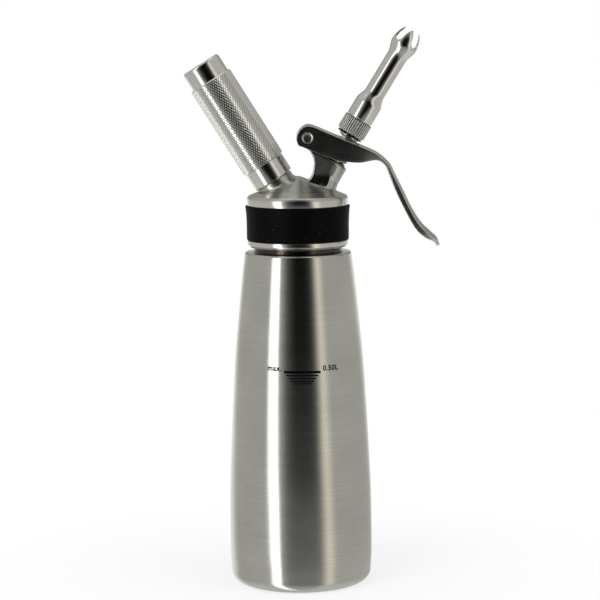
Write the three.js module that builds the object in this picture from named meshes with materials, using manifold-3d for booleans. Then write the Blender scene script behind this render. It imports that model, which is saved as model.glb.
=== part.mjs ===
// Whipped cream dispenser: a tapered stainless bottle under a screw-on head, with a gas charger in its
// holder on the left, and a lever that works a sprung valve under a tulip nozzle on the right.
// Millimetres, +Z up. The origin is the centre of the bottle's flat base, and +X points to the lever's tip.

import * as THREE from "three";
import { mergeVertices } from "three/addons/utils/BufferGeometryUtils.js";
import Module from "manifold-3d";

const wasm = await Module();
wasm.setup();

// Clearances and fineness, shared by every piece
const seatGap = 0.3; // between a piece and the face that it rests on
const turnedGap = 0.15; // between two turned pieces on one axis, on the radius
const runningGap = 0.1; // between a pin or stem and its bore, on the radius
const threadGap = 0.4; // between a male and a female thread's plain stand-ins, on the radius
const cutOverrun = 1; // how far a cutter reaches past the face that it opens
const turnedEdge = 0.5; // chamfer on the outer edge of a turned piece
const wideSegments = 48; // sides of a large turned piece
const midSegments = 24;
const smallSegments = 16;

// Bottle
const bottleRadius = 39.5;
const bottleShoulderHeight = 184.2;
const bottleWall = 0.9;
const bottleFloor = 1.6;
const bottleBaseFillet = 6;
const bottleShoulderFillet = 1.3;
const neckRadius = 24.7;
const neckLength = 22.8;
const neckWall = 1.1;
const shoulderWidth = 4.75; // from the neck out to the bottle's side
const shoulderRadius = neckRadius + shoulderWidth;
const mouthHeight = bottleShoulderHeight + neckLength;
// The bottle's side: height as a share of the shoulder's, then how far it stands out beyond the
// shoulder, as a share of what the widest place does
const bottleSideShares = [
  [0.0326, 0.937],
  [0.09, 0.994],
  [0.17, 1],
  [0.3, 0.963],
  [0.43, 0.859],
  [0.56, 0.733],
  [0.69, 0.58],
  [0.82, 0.356],
  [0.93, 0.143],
  [0.993, 0],
];
const bottleSideSteps = 12;
const bottleInsideSteps = 6;

// Head: skirt, seat of the grip ring, and dome
const headRise = 2.8; // from the bottle's shoulder to the head's lower rim
const skirtWall = 2.7;
const skirtChamfer = 1.4;
const lowerBandHeight = 3.7;
const gripHeight = 19.1;
const gripSeatDepth = 1.2;
const upperBandHeight = 3.3;
const domeSlope = THREE.MathUtils.degToRad(22.5);
const domeEdgeFillet = 2.4;
const domeApexRound = 7.3;
const domeWall = 3.4;
const headBottom = bottleShoulderHeight + headRise;
const gripBottom = headBottom + lowerBandHeight;
const gripTop = gripBottom + gripHeight;
const bandTop = gripTop + upperBandHeight;
const skirtBore = neckRadius + threadGap;
const bandRadius = skirtBore + skirtWall;
const gripSeatRadius = bandRadius - gripSeatDepth;

// Soft ring round the skirt, and the flat seal over the bottle's mouth
const gripProud = 0.3; // how far the ring stands out beyond the bands
const gripRadius = bandRadius + gripProud;
const gripLip = 0.7;
const gripLipHeight = 2;
const gasketThickness = 1.6;
const gasketWidth = 3.9;
const ledgeHeight = mouthHeight + seatGap + gasketThickness + seatGap;
const cavityRadius = neckRadius - gasketWidth - seatGap;

// A standard eight gram gas charger
const chargerRadius = 9.3;
const chargerLength = 65.5;
const chargerNeckRadius = 4.4;
const chargerNeckLength = 11;
const chargerShoulderLength = 9;
const chargerWall = 1.6;

// Charging side: the axis leans left from a point on the bottle's axis, and heights run along it
const chargerTilt = THREE.MathUtils.degToRad(-31.8);
const chargerAxisDrop = 10.4; // of that point, below the top of the head's upper band
const chargerAxisHeight = bandTop - chargerAxisDrop;
const chargerBossInner = 14;
const chargerBossInnerLength = 3;
const chargerBossFoot = 2.4;
const chargerBossFlare = 1.8;
const chargerBossNeck = 3;
const chargerBossStep = chargerBossInner + chargerBossInnerLength;
const chargerFlareTop = chargerBossStep + chargerBossFoot + chargerBossFlare;
const chargerBossTop = chargerFlareTop + chargerBossNeck;

// The nipple on the charger's boss, that the holder screws onto, and its recess for the charger's neck
const chargerPlay = 0.5; // between the charger and its holder, on the radius
const neckPlay = 0.9; // between the charger's neck and the recess, on the radius
const nippleLength = 11.8;
const nippleChamfer = 0.8;
const nippleRecessDepth = 9;
const chargerBossLedge = 1.1;
const chargerBossInnerWall = 2.2;
const holderBore = chargerRadius + chargerPlay;
const nippleRadius = holderBore - threadGap;
const nippleRecessRadius = chargerNeckRadius + neckPlay;
const chargerBossRadius = nippleRadius + chargerBossLedge;
const chargerBossInnerRadius = nippleRecessRadius + chargerBossInnerWall;
const nippleTop = chargerBossTop + nippleLength;
const recessFloor = nippleTop - nippleRecessDepth;

// Charging valve in the nipple: body, rubber sleeve, piercing pin and the charger's seal
const piercingPinRadius = 1;
const piercingPinLength = 8.2;
const piercingPinTip = 2.4;
const gasGap = 0.2; // that the gas passes through round the pin
const chargingBodyRadius = 3.8;
const chargingFlange = 1;
const chargingCollarLip = 0.9;
const chargingCollarHeight = 0.9;
const sleeveWall = 1;
const sleeveLength = 3.5;
const sleevePlay = 0.6; // that the sleeve lifts by
const chargerSealThickness = 1.1;
const chargingBoreRadius = piercingPinRadius + gasGap;
const chargerPierceRadius = piercingPinRadius + 2 * gasGap;
const chargerSealBore = chargerPierceRadius + gasGap;
const chargingCollarRadius = chargingBodyRadius + chargingCollarLip;
const chargingBodyInner = chargerBossInner - sleeveLength - seatGap - sleevePlay;
const chargerStart =
  recessFloor + chargingFlange + chargerSealThickness + 3 * seatGap;

// Knurled holder over the charger
const holderWall = 1.65;
const holderGripRise = 0.9; // of the knurled middle above the lower band, on the radius
const holderUpperInset = 0.3;
const holderLowerLength = 10.3;
const holderUpperLength = 10.4;
const holderEndWall = 3.5;
const holderEdge = 1;
const holderGripChamfer = 0.6;
const holderLowerRadius = holderBore + holderWall;
const holderGripRadius = holderLowerRadius + holderGripRise;
const holderUpperRadius = holderLowerRadius - holderUpperInset;
const holderStart = chargerBossTop + seatGap;
const holderBoreEnd = chargerStart + chargerLength + seatGap;
const holderEnd = holderBoreEnd + holderEndWall;

// Valve side: the axis leans right from a point on the bottle's axis, and heights run along it
const valveTilt = THREE.MathUtils.degToRad(31.7);
const valveAxisDrop = 12.1; // of that point, below the top of the head's upper band
const valveAxisHeight = bandTop - valveAxisDrop;
const valveSeat = 15.3;
const valveSeatLength = 4.2;
const valveBossFootLength = 3;
const valveBossFlareLength = 2.8;
const valveBossWaistLength = 4.2;
const valveBossLength = 8.8;
const springWellDepth = 4.2;
const guideBoreStart = valveSeat + valveSeatLength;
const valveBossFoot = guideBoreStart + valveBossFootLength;
const valveBossFlare = valveBossFoot + valveBossFlareLength;
const valveBossWaist = valveBossFlare + valveBossWaistLength;
const valveBossTop = valveBossWaist + valveBossLength;
const springWellFloor = valveBossTop - springWellDepth;

// Stem, its seals and its guide, from the stem outwards
const stemRadius = 3.5;
const stemBore = 1.9;
const stemPortRadius = 1.2;
const creamGap = 0.6; // that the cream passes through round the stem
const valveDiscLap = 0.9;
const valveDiscThickness = 2.4;
const valveSealThickness = 1.4;
const valveSeatWall = 1.6;
const ringLedge = 0.7;
const guideFlangeThickness = 1.2;
const valveBoreRadius = stemRadius + creamGap;
const valveDiscRadius = valveBoreRadius + valveDiscLap;
const valveInnerRadius = valveDiscRadius + valveSeatWall;
const guideBoreRadius = valveBoreRadius + ringLedge;
const stemRingSection = guideBoreRadius - stemRadius - 2 * runningGap;

// Spring round the stem, the well that it stands in, and the outside of the valve's boss
const springRadius = 6;
const springWireRadius = 0.65;
const springTurns = 5;
const springStepsPerTurn = 8;
const springSides = 5;
const springWellGap = 0.75; // round the spring
const springWellWall = 0.9;
const valveBossWaistRise = 0.3; // of each part of the boss over its top end, on the radius
const valveBossFlareRise = 1.2;
const valveBossFootRise = 3;
const springCapLip = 0.35;
const springCapCrown = 1.3;
const springCapThickness = 1.2;
const springWellRadius = springRadius + springWireRadius + springWellGap;
const springCapRadius = springRadius + springWireRadius + springCapLip;
const valveBossRadius = springWellRadius + springWellWall;

// The pin's centre, placed from the point where the valve's axis crosses the lever's outer face
const webRise = 14.1; // of that point above the boss, along the axis
const pinOffset = 19.185; // to the left of the axis
const pinDrop = 10.3; // below that point, along the axis
const webHeight = valveBossTop + webRise;
const [pivotX, pivotZ] = valvePoint(-pinOffset, webHeight - pinDrop);

// Lug and saddle that carry the pin, cast with the head
const pinRadius = 2.5;
const lugWall = 1.7;
const lugRadius = pinRadius + lugWall;
const lugHalfWidth = valveBossRadius;
const lugLean = THREE.MathUtils.degToRad(-38);
const lugTail = THREE.MathUtils.degToRad(222);
const saddleFoot = 1.8; // height of the saddle's lowest point over the upper band
const saddleRise = pivotZ - bandTop - saddleFoot;
const saddleBaseX = 14;
// The saddle's hollow left edge from the lug to the dome, as shares of its height from the pin
const saddleEdgeShares = [
  [0.022, -0.219],
  [0.1, -0.341],
  [0.1156, -0.4625],
  [0.094, -0.603],
  [0.044, -0.7094],
  [-0.04, -0.794],
  [-0.1, -0.9],
];
const saddleEdgeSteps = 12;

// Lever: a pressed channel that turns on the pin, with the lug and the valve's boss between its walls
const handleReach = 45;
const leverSheet = 1.2;
const leverSideGap = 0.5; // between the lug and the channel's walls
const leverCorner = 1.7;
const leverCrown = 2.2;
const leverLip = 0.4;
const leverHalfWidth = lugHalfWidth + leverSideGap + leverSheet;
const leverStations = 30;
const leverCornerSteps = 3;
const leverCrownSteps = 3;
// Each row: the sheet's outer face along the lever and up, the side wall's lower edge along and up, then
// the half width and the crown as shares of their full values. The body's rows are from the pin, along
// the line to where the valve's axis crosses the web, as shares of its length
const leverBodyShares = [
  [-0.212, -0.215, -0.157, -0.221, 1, 0.25],
  [-0.276, -0.081, -0.105, -0.241, 1, 0.25],
  [-0.271, 0.062, -0.039, -0.264, 1, 0.25],
  [-0.192, 0.214, 0.036, -0.292, 1, 0.25],
  [-0.038, 0.324, 0.13, -0.328, 1, 0.25],
  [0.147, 0.303, 0.276, -0.379, 1, 0.25],
  [0.448, 0.197, 0.487, -0.449, 1, 0.25],
  [0.843, 0.056, 0.768, -0.533, 1, 0.25],
  [1.13, -0.042, 1.046, -0.558, 1, 0.25],
  [1.412, -0.14, 1.345, -0.558, 0.99, 0.3],
];
// The handle's rows are from the body's last outer point, as shares of the handle's reach
const leverHandleShares = [
  [0.114, -0.042, 0.066, -0.181, 0.97, 0.4],
  [0.194, -0.082, 0.155, -0.164, 0.94, 0.5],
  [0.273, -0.139, 0.223, -0.182, 0.89, 0.6],
  [0.349, -0.217, 0.286, -0.241, 0.85, 0.7],
  [0.417, -0.338, 0.342, -0.36, 0.82, 0.75],
  [0.524, -0.527, 0.429, -0.546, 0.82, 0.8],
  [0.641, -0.734, 0.547, -0.761, 0.85, 0.9],
  [0.758, -0.896, 0.678, -0.967, 0.89, 1],
  [0.878, -1.002, 0.802, -1.071, 0.88, 1],
  [0.958, -1.071, 0.914, -1.118, 0.7, 0.8],
  [1, -1.153, 0.977, -1.165, 0.36, 0.4],
];

// Lever's slot round the valve stem, along the lever and across it
const slotSideGap = 0.5;
const slotPlay = 1.8; // that the stem shifts along the slot as the lever turns
const slotHalfWidth = stemRadius + slotSideGap;
const slotHalfLength = slotHalfWidth + slotPlay;

const pinHeadLip = 0.65;
const pinHeadThickness = 0.6;
const pinDimpleRim = 1.05;
const pinDimpleDepth = 0.5;
const pinTail = 1.6;
const pinHeadRadius = pinRadius + pinHeadLip;
const pinDimpleRadius = pinHeadRadius - pinDimpleRim;
const clipWidth = 1.5;
const clipRadius = pinRadius + clipWidth;
const clipThickness = 0.8;
const clipOpening = THREE.MathUtils.degToRad(70);

// Adapter on the stem and the seal on its flange. Heights run along the valve axis
const adapterNeckWall = 0.65;
const adapterRimRise = 0.9;
const adapterFlangeLip = 1;
const adapterFlangeThickness = 0.5;
const adapterStubWall = 1.25;
const adapterStubLength = 6.6;
const nozzleSealThickness = 0.8;
const nozzleSealGap = 0.2; // under the seal
const adapterBore = stemRadius + turnedGap;
const adapterNeckRadius = adapterBore + adapterNeckWall;
const adapterStubRadius = adapterBore + adapterStubWall;
const adapterFlangeRadius = adapterStubRadius + adapterFlangeLip;
const adapterStart = webHeight + 2 * seatGap;
const adapterRim = adapterStart + adapterRimRise;
const adapterFlangeTop = adapterRim + adapterFlangeThickness;
const adapterTop = adapterRim + adapterStubLength;
const nozzleSealStart = adapterFlangeTop + nozzleSealGap;

// Knurled collar that clamps the nozzle
const collarWall = 2.75;
const collarLength = 9.1;
const collarChamfer = 0.9;
const collarRibs = 38;
const collarRibDepth = 0.35;
const collarSocketDepth = 2.6;
const nozzleSealInset = 0.85;
const collarBore = adapterStubRadius + threadGap;
const collarRadius = collarBore + collarWall;
const collarStart = nozzleSealStart + nozzleSealThickness + seatGap;
const nozzleSealRadius = collarRadius - nozzleSealInset;

// Nozzle, from the collar outwards
const barrelInset = 0.55; // of the barrel inside the collar's side, on the radius
const barrelEdge = 0.4;
const barrelLength = 11.4;
const spigotStep = 1.1;
const spigotWall = 0.9;
const nozzleShoulder = 4;
const tubeInset = 1.85; // of the narrow tube inside the barrel's side, on the radius
const tubeLength = 24.6;
const tubeWall = 1.25;
const barrelRadius = collarRadius - barrelInset;
const nozzleSpigotRadius = barrelRadius - spigotStep;
const barrelBore = nozzleSpigotRadius - spigotWall;
const tubeRadius = barrelRadius - tubeInset;
const tubeBore = tubeRadius - tubeWall;
const tulipLength = 16.2;
const tulipFlare = 1.8;
const tulipRadius = tubeRadius + tulipFlare;
// The tulip's outer face: height as a share of its length, then how far it stands out beyond the narrow
// tube, as a share of what its widest place does
const tulipShares = [
  [0, 0],
  [0.09, 0.18],
  [0.22, 0.586],
  [0.35, 0.938],
  [0.45, 1],
  [0.6, 0.834],
  [0.74, 0.503],
  [0.88, -0.076],
  [1, -0.78],
];
const tulipSteps = 9;
const tulipWall = 1.3;
const tineTipWall = 0.8;
const tineSlotHalfWidth = 2.25;
const tineSlotMouth = 3;
const tineLength = 8.7;
const tineTurns = [45, 135];

// Colours, as the metal and rubber look in plain light
const brushedSteel = new THREE.MeshStandardMaterial({
  color: 0xb4b4b0,
  roughness: 0.38,
  metalness: 1,
});
const polishedSteel = new THREE.MeshStandardMaterial({
  color: 0xc6c6c2,
  roughness: 0.12,
  metalness: 1,
});
const satinSteel = new THREE.MeshStandardMaterial({
  color: 0xa9a8a2,
  roughness: 0.45,
  metalness: 1,
});
const blackRubber = new THREE.MeshStandardMaterial({
  color: 0x101012,
  roughness: 0.75,
  metalness: 0,
});
const springSteel = new THREE.MeshStandardMaterial({
  color: 0x4a4a4a,
  roughness: 0.35,
  metalness: 1,
});

// The geometry of a closed surface, with its shared corners merged and its flat slivers dropped
function weld(geometry) {
  const plain = geometry.clone();
  plain.deleteAttribute("normal");
  plain.deleteAttribute("uv");
  const merged = mergeVertices(plain);
  const kept = [];
  for (let i = 0; i < merged.index.count; i += 3) {
    const [a, b, c] = [0, 1, 2].map((k) => merged.index.getX(i + k));
    if (a !== b && b !== c && c !== a) kept.push(a, b, c);
  }
  merged.setIndex(kept);
  return merged;
}

function solidOf(geometry) {
  const welded = weld(geometry);
  return new wasm.Manifold(
    new wasm.Mesh({
      numProp: 3,
      vertProperties: welded.attributes.position.array,
      triVerts: new Uint32Array(welded.index.array),
    }),
  );
}

function geometryOf(solid) {
  const mesh = solid.getMesh();
  const geometry = new THREE.BufferGeometry();
  geometry.setAttribute(
    "position",
    new THREE.BufferAttribute(mesh.vertProperties, mesh.numProp),
  );
  geometry.setIndex(new THREE.BufferAttribute(mesh.triVerts, 1));
  geometry.computeVertexNormals();
  return geometry;
}

function join(first, ...others) {
  return others.reduce((sum, next) => sum.add(next), first);
}

function cut(first, ...tools) {
  return tools.reduce((rest, tool) => rest.subtract(tool), first);
}

// Points [radius, height] of an arc round a centre, between two angles
function arc(centreRadius, centreHeight, radius, from, to, steps) {
  return Array.from({ length: steps + 1 }, (_, i) => {
    const angle = from + ((to - from) * i) / steps;
    return [
      centreRadius + radius * Math.cos(angle),
      centreHeight + radius * Math.sin(angle),
    ];
  });
}

// A solid turned about Z. The profile [radius, height] starts and ends on the axis, or closes on itself
function turned(profile, segments) {
  const area = profile.reduce((sum, [r, z], i) => {
    const [nextR, nextZ] = profile[(i + 1) % profile.length];
    return sum + r * nextZ - nextR * z;
  }, 0);
  const outline = area > 0 ? [...profile] : [...profile].reverse();
  if (outline[0][0] > 0) outline.push(outline[0]);
  const lathe = new THREE.LatheGeometry(
    outline.map(([r, z]) => new THREE.Vector2(r, z)),
    segments,
  );
  return solidOf(lathe.rotateX(Math.PI / 2));
}

// A plain turned ring or disc between two heights
function washer(inner, outer, low, high, segments) {
  const profile = [
    [inner, low],
    [outer, low],
    [outer, high],
    [inner, high],
  ];
  return turned(profile, segments);
}

// A solid pushed out along Y to both sides of the outline [x, z]
function extruded(outline, halfWidth) {
  const shape = new THREE.Shape(
    outline.map(([x, z]) => new THREE.Vector2(x, z)),
  );
  const geometry = new THREE.ExtrudeGeometry(shape, {
    depth: 2 * halfWidth,
    bevelEnabled: false,
  });
  geometry.rotateX(Math.PI / 2);
  geometry.translate(0, halfWidth, 0);
  return solidOf(geometry);
}

// A smooth run of points through the rows of a table of shares, each scaled by its own size
function smoothed(shares, scaleFirst, scaleSecond, steps) {
  const curve = new THREE.SplineCurve(
    shares.map(
      ([first, second]) =>
        new THREE.Vector2(first * scaleFirst, second * scaleSecond),
    ),
  );
  return curve.getPoints(steps).map((p) => [p.x, p.y]);
}

const model = new THREE.Group();
model.name = "whipped_cream_dispenser";

// Groups whose Z runs along each slanted axis
function leaningGroup(height, tilt) {
  const group = new THREE.Group();
  group.position.z = height;
  group.rotation.y = tilt;
  model.add(group);
  return group;
}
const chargerSide = leaningGroup(chargerAxisHeight, chargerTilt);
const valveSide = leaningGroup(valveAxisHeight, valveTilt);

function addPiece(name, solid, material, parent = model) {
  const mesh = new THREE.Mesh(geometryOf(solid), material);
  mesh.name = name;
  parent.add(mesh);
}

// A solid made along one of the slanted axes, moved to the model's own frame
function leant(solid, height, tilt) {
  return solid
    .rotate([0, THREE.MathUtils.radToDeg(tilt), 0])
    .translate([0, 0, height]);
}

// Bottle: drawn from one sheet, with a rolled neck
function bottle() {
  const bulge = bottleRadius - shoulderRadius;
  const sideWith = (steps) =>
    smoothed(bottleSideShares, bottleShoulderHeight, bulge, steps).map(
      ([z, out]) => [shoulderRadius + out, z],
    );
  const side = sideWith(bottleSideSteps);
  const [footRadius] = side[0];
  const baseCorner = arc(
    footRadius - bottleBaseFillet,
    bottleBaseFillet,
    bottleBaseFillet,
    -Math.PI / 2,
    0,
    4,
  );
  const shoulderCorner = arc(
    shoulderRadius - bottleShoulderFillet,
    bottleShoulderHeight - bottleShoulderFillet,
    bottleShoulderFillet,
    0,
    Math.PI / 2,
    3,
  );
  const outer = [
    [0, 0],
    ...baseCorner,
    ...side.slice(1, -1),
    ...shoulderCorner,
    [neckRadius, bottleShoulderHeight],
    [neckRadius, mouthHeight],
  ];
  const innerCorner = arc(
    footRadius - bottleBaseFillet,
    bottleBaseFillet + bottleFloor - bottleWall,
    bottleBaseFillet - bottleWall,
    -Math.PI / 2,
    0,
    3,
  );
  const innerShoulder = bottleShoulderHeight - bottleWall;
  const inner = [
    ...innerCorner,
    ...sideWith(bottleInsideSteps)
      .slice(1, -1)
      .map(([r, z]) => [r - bottleWall, z]),
    [shoulderRadius - bottleShoulderFillet, innerShoulder],
    [neckRadius - neckWall, innerShoulder],
    [neckRadius - neckWall, mouthHeight],
  ];
  const floorHeight = innerCorner[0][1];
  return turned([...outer, ...inner.reverse(), [0, floorHeight]], wideSegments);
}

function headGasket() {
  const low = mouthHeight + seatGap;
  return washer(
    neckRadius - gasketWidth,
    neckRadius,
    low,
    low + gasketThickness,
    wideSegments,
  );
}

// Height of the dome's outer cone at a radius, before its edge and apex are rounded
function domeHeight(radius) {
  const filletDrop =
    domeEdgeFillet * Math.cos(domeSlope) -
    domeEdgeFillet * (1 - Math.sin(domeSlope)) * Math.tan(domeSlope);
  const edge = bandTop + filletDrop;
  return edge + (bandRadius - radius) * Math.tan(domeSlope);
}

// Skirt, band and dome of the head as one turned shell, open at the bottom
function headShell() {
  const rimRadius = bandRadius - skirtChamfer;
  const edge = arc(
    bandRadius - domeEdgeFillet,
    bandTop,
    domeEdgeFillet,
    0,
    Math.PI / 2 - domeSlope,
    5,
  );
  const apexCentre =
    domeHeight(0) - domeApexRound / Math.cos(domeSlope);
  const apex = arc(
    0,
    apexCentre,
    domeApexRound,
    Math.PI / 2 - domeSlope,
    Math.PI / 2,
    3,
  ).slice(0, -1);
  const outer = [
    [skirtBore, headBottom],
    [rimRadius, headBottom],
    [bandRadius, headBottom + skirtChamfer],
    [bandRadius, gripBottom],
    [gripSeatRadius, gripBottom],
    [gripSeatRadius, gripTop],
    [bandRadius, gripTop],
    ...edge,
    ...apex,
    [0, apexCentre + domeApexRound],
  ];
  const inner = [
    [0, domeHeight(0) - domeWall],
    [cavityRadius, domeHeight(cavityRadius) - domeWall],
    [cavityRadius, ledgeHeight],
    [skirtBore, ledgeHeight],
  ];
  return turned([...outer, ...inner], wideSegments);
}

// The threaded nipple that the charger holder screws onto, on its flared boss
function chargerBoss() {
  const footRadius = chargerBossRadius + chargerBossFlare;
  const flare = arc(
    footRadius,
    chargerFlareTop,
    chargerBossFlare,
    (3 * Math.PI) / 2,
    Math.PI,
    4,
  );
  const profile = [
    [0, chargerBossInner],
    [chargerBossInnerRadius, chargerBossInner],
    [chargerBossInnerRadius, chargerBossStep],
    [footRadius, chargerBossStep],
    ...flare,
    [chargerBossRadius, chargerBossTop],
    [nippleRadius, chargerBossTop],
    [nippleRadius, nippleTop - nippleChamfer],
    [nippleRadius - nippleChamfer, nippleTop],
    [0, nippleTop],
  ];
  return turned(profile, midSegments);
}

function chargerBores() {
  const shank = chargingBodyRadius + turnedGap;
  const profile = [
    [0, chargerBossInner - cutOverrun],
    [shank, chargerBossInner - cutOverrun],
    [shank, recessFloor],
    [nippleRecessRadius, recessFloor],
    [nippleRecessRadius, nippleTop + cutOverrun],
    [0, nippleTop + cutOverrun],
  ];
  return turned(profile, midSegments);
}

// The inner end of the valve boss, with the valve's seat on its end face
function valveSeatBoss() {
  const top = guideBoreStart + cutOverrun;
  return washer(0, valveInnerRadius, valveSeat, top, midSegments);
}

// The outer part of the valve boss, that the stem's guide and spring sit in
function valveBoss() {
  const profile = [
    [0, guideBoreStart],
    [valveBossRadius + valveBossFootRise, guideBoreStart],
    [valveBossRadius + valveBossFootRise, valveBossFoot],
    [valveBossRadius + valveBossFlareRise, valveBossFlare],
    [valveBossRadius + valveBossWaistRise, valveBossWaist],
    [valveBossRadius, valveBossTop - turnedEdge],
    [valveBossRadius - turnedEdge, valveBossTop],
    [0, valveBossTop],
  ];
  return turned(profile, midSegments);
}

function valveBores() {
  const profile = [
    [0, valveSeat - cutOverrun],
    [valveBoreRadius, valveSeat - cutOverrun],
    [valveBoreRadius, guideBoreStart],
    [guideBoreRadius, guideBoreStart],
    [guideBoreRadius, springWellFloor],
    [springWellRadius, springWellFloor],
    [springWellRadius, valveBossTop + cutOverrun],
    [0, valveBossTop + cutOverrun],
  ];
  return turned(profile, midSegments);
}

// A point along the valve axis and square to it, in the model's frame as [x, z]
function valvePoint(across, along) {
  return [
    across * Math.cos(valveTilt) + along * Math.sin(valveTilt),
    valveAxisHeight - across * Math.sin(valveTilt) + along * Math.cos(valveTilt),
  ];
}

// The saddle's hollow left edge from the lug down into the dome
function saddleEdge() {
  return smoothed(
    saddleEdgeShares,
    saddleRise,
    saddleRise,
    saddleEdgeSteps,
  ).map(([x, z]) => [pivotX + x, pivotZ + z]);
}

// Lug round the pin, and the saddle that carries it
function saddle() {
  const outline = [
    ...arc(pivotX, pivotZ, lugRadius, lugLean, lugTail, 14),
    ...saddleEdge(),
    [pivotX + saddleBaseX, pivotZ - saddleRise],
    valvePoint(0, valveBossFoot),
    valvePoint(0, springWellFloor),
    valvePoint(-springWellRadius - turnedEdge, valveBossTop),
  ];
  return extruded(outline, lugHalfWidth);
}

// All the room to the right of the saddle's left edge: the valve boss is cut off flush with that edge
function rightOfSaddle() {
  const far = pivotX + pinOffset + handleReach;
  const outline = [
    [pivotX, pivotZ],
    ...saddleEdge(),
    [far, pivotZ - saddleRise],
    [far, pivotZ],
  ];
  return extruded(outline, bandRadius);
}

// A round bar along Y through the pin's centre
function pinBar(radius, halfLength, segments) {
  const bar = new THREE.CylinderGeometry(
    radius,
    radius,
    2 * halfLength,
    segments,
  );
  bar.translate(pivotX, 0, pivotZ);
  return solidOf(bar);
}

function head() {
  const outerBoss = leant(valveBoss(), valveAxisHeight, valveTilt);
  const cast = join(
    headShell(),
    leant(chargerBoss(), chargerAxisHeight, chargerTilt),
    leant(valveSeatBoss(), valveAxisHeight, valveTilt),
    outerBoss.intersect(rightOfSaddle()),
    saddle(),
  );
  return cut(
    cast,
    leant(chargerBores(), chargerAxisHeight, chargerTilt),
    leant(valveBores(), valveAxisHeight, valveTilt),
    pinBar(pinRadius + runningGap, leverHalfWidth, smallSegments),
  );
}

function gripRing() {
  const low = gripBottom + turnedGap;
  const high = gripTop - turnedGap;
  const inner = gripSeatRadius + turnedGap;
  const lipRadius = gripRadius + gripLip;
  const profile = [
    [inner, low],
    [gripRadius - gripLip, low],
    [gripRadius, low + gripLip],
    [gripRadius, high - gripLipHeight],
    [lipRadius, high - gripLipHeight / 2],
    [lipRadius, high - gripLip / 2],
    [lipRadius - gripLip / 2, high],
    [inner, high],
  ];
  return turned(profile, wideSegments);
}

// Charging side, along its own axis
function chargingValveBody() {
  const flangeRadius = nippleRecessRadius - turnedGap;
  const low = recessFloor + seatGap;
  const profile = [
    [chargingBoreRadius, chargingBodyInner - chargingCollarHeight],
    [chargingCollarRadius, chargingBodyInner - chargingCollarHeight],
    [chargingCollarRadius, chargingBodyInner],
    [chargingBodyRadius, chargingBodyInner],
    [chargingBodyRadius, low],
    [flangeRadius, low],
    [flangeRadius, low + chargingFlange],
    [chargingBoreRadius, low + chargingFlange],
  ];
  return turned(profile, midSegments);
}

function checkValveSleeve() {
  const inner = chargingBodyRadius + turnedGap;
  const low = chargingBodyInner + seatGap;
  return washer(inner, inner + sleeveWall, low, low + sleeveLength, midSegments);
}

function piercingPin() {
  const top = chargerStart + piercingPinTip;
  const low = top - piercingPinLength;
  const profile = [
    [0, low],
    [piercingPinRadius, low],
    [piercingPinRadius, top - piercingPinTip],
    [0, top],
  ];
  return turned(profile, smallSegments);
}

function chargerSeal() {
  const low = recessFloor + chargingFlange + 2 * seatGap;
  return washer(
    chargerSealBore,
    nippleRecessRadius - turnedGap,
    low,
    low + chargerSealThickness,
    midSegments,
  );
}

// The charger's outer face as [radius, height], grown inwards by a wall
function chargerOutline(wall) {
  const neck = chargerStart + chargerNeckLength;
  const body = neck + chargerShoulderLength;
  const radius = chargerRadius - wall;
  const endCentre = chargerStart + chargerLength - chargerRadius;
  const shoulderMid = (chargerNeckRadius + chargerRadius) / 2 - wall;
  return [
    [shoulderMid, neck + chargerShoulderLength / 3],
    [radius, body],
    ...arc(0, endCentre, radius, 0, Math.PI / 2, 6).slice(0, -1),
    [0, endCentre + radius],
  ];
}

// A thin-walled flask whose neck has been pierced
function gasCharger() {
  const neck = chargerStart + chargerNeckLength;
  const skin = [
    [0, chargerStart],
    [chargerNeckRadius, chargerStart],
    [chargerNeckRadius, neck],
    ...chargerOutline(0),
  ];
  const hollow = [
    [0, chargerStart - cutOverrun],
    [chargerPierceRadius, chargerStart - cutOverrun],
    [chargerPierceRadius, neck],
    ...chargerOutline(chargerWall),
  ];
  return cut(turned(skin, midSegments), turned(hollow, midSegments));
}

function chargerHolder() {
  const gripStart = holderStart + holderLowerLength;
  const gripEnd = holderEnd - holderUpperLength;
  const profile = [
    [holderBore, holderStart],
    [holderLowerRadius - holderEdge / 2, holderStart],
    [holderLowerRadius, holderStart + holderEdge / 2],
    [holderLowerRadius, gripStart],
    [holderGripRadius - holderGripChamfer, gripStart],
    [holderGripRadius, gripStart + holderGripChamfer],
    [holderGripRadius, gripEnd - holderGripChamfer],
    [holderGripRadius - holderGripChamfer, gripEnd],
    [holderUpperRadius, gripEnd],
    ...arc(
      holderUpperRadius - holderEdge,
      holderEnd - holderEdge,
      holderEdge,
      0,
      Math.PI / 2,
      3,
    ),
    [0, holderEnd],
    [0, holderBoreEnd],
    [holderBore, holderBoreEnd],
  ];
  return turned(profile, midSegments);
}

// Valve side, along its own axis
function valveSeal() {
  const high = valveSeat - seatGap;
  const low = high - valveSealThickness;
  return washer(stemRadius + turnedGap, valveDiscRadius, low, high, midSegments);
}

// The hollow stem: a disc that closes the valve, side ports above it, and a bore up to the nozzle
function valveStem() {
  const discTop = valveSeat - valveSealThickness - 2 * seatGap;
  const profile = [
    [0, discTop - valveDiscThickness],
    [valveDiscRadius - turnedEdge, discTop - valveDiscThickness],
    [valveDiscRadius, discTop - valveDiscThickness + turnedEdge],
    [valveDiscRadius, discTop],
    [stemRadius, discTop],
    [stemRadius, adapterTop],
    [stemBore, adapterTop],
    [stemBore, valveSeat + stemPortRadius],
    [0, valveSeat + stemPortRadius - stemBore / 2],
  ];
  const port = new THREE.CylinderGeometry(
    stemPortRadius,
    stemPortRadius,
    2 * valveDiscRadius,
    smallSegments / 2,
  );
  port.translate(0, 0, (valveSeat + guideBoreStart) / 2);
  return cut(turned(profile, smallSegments), solidOf(port));
}

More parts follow.
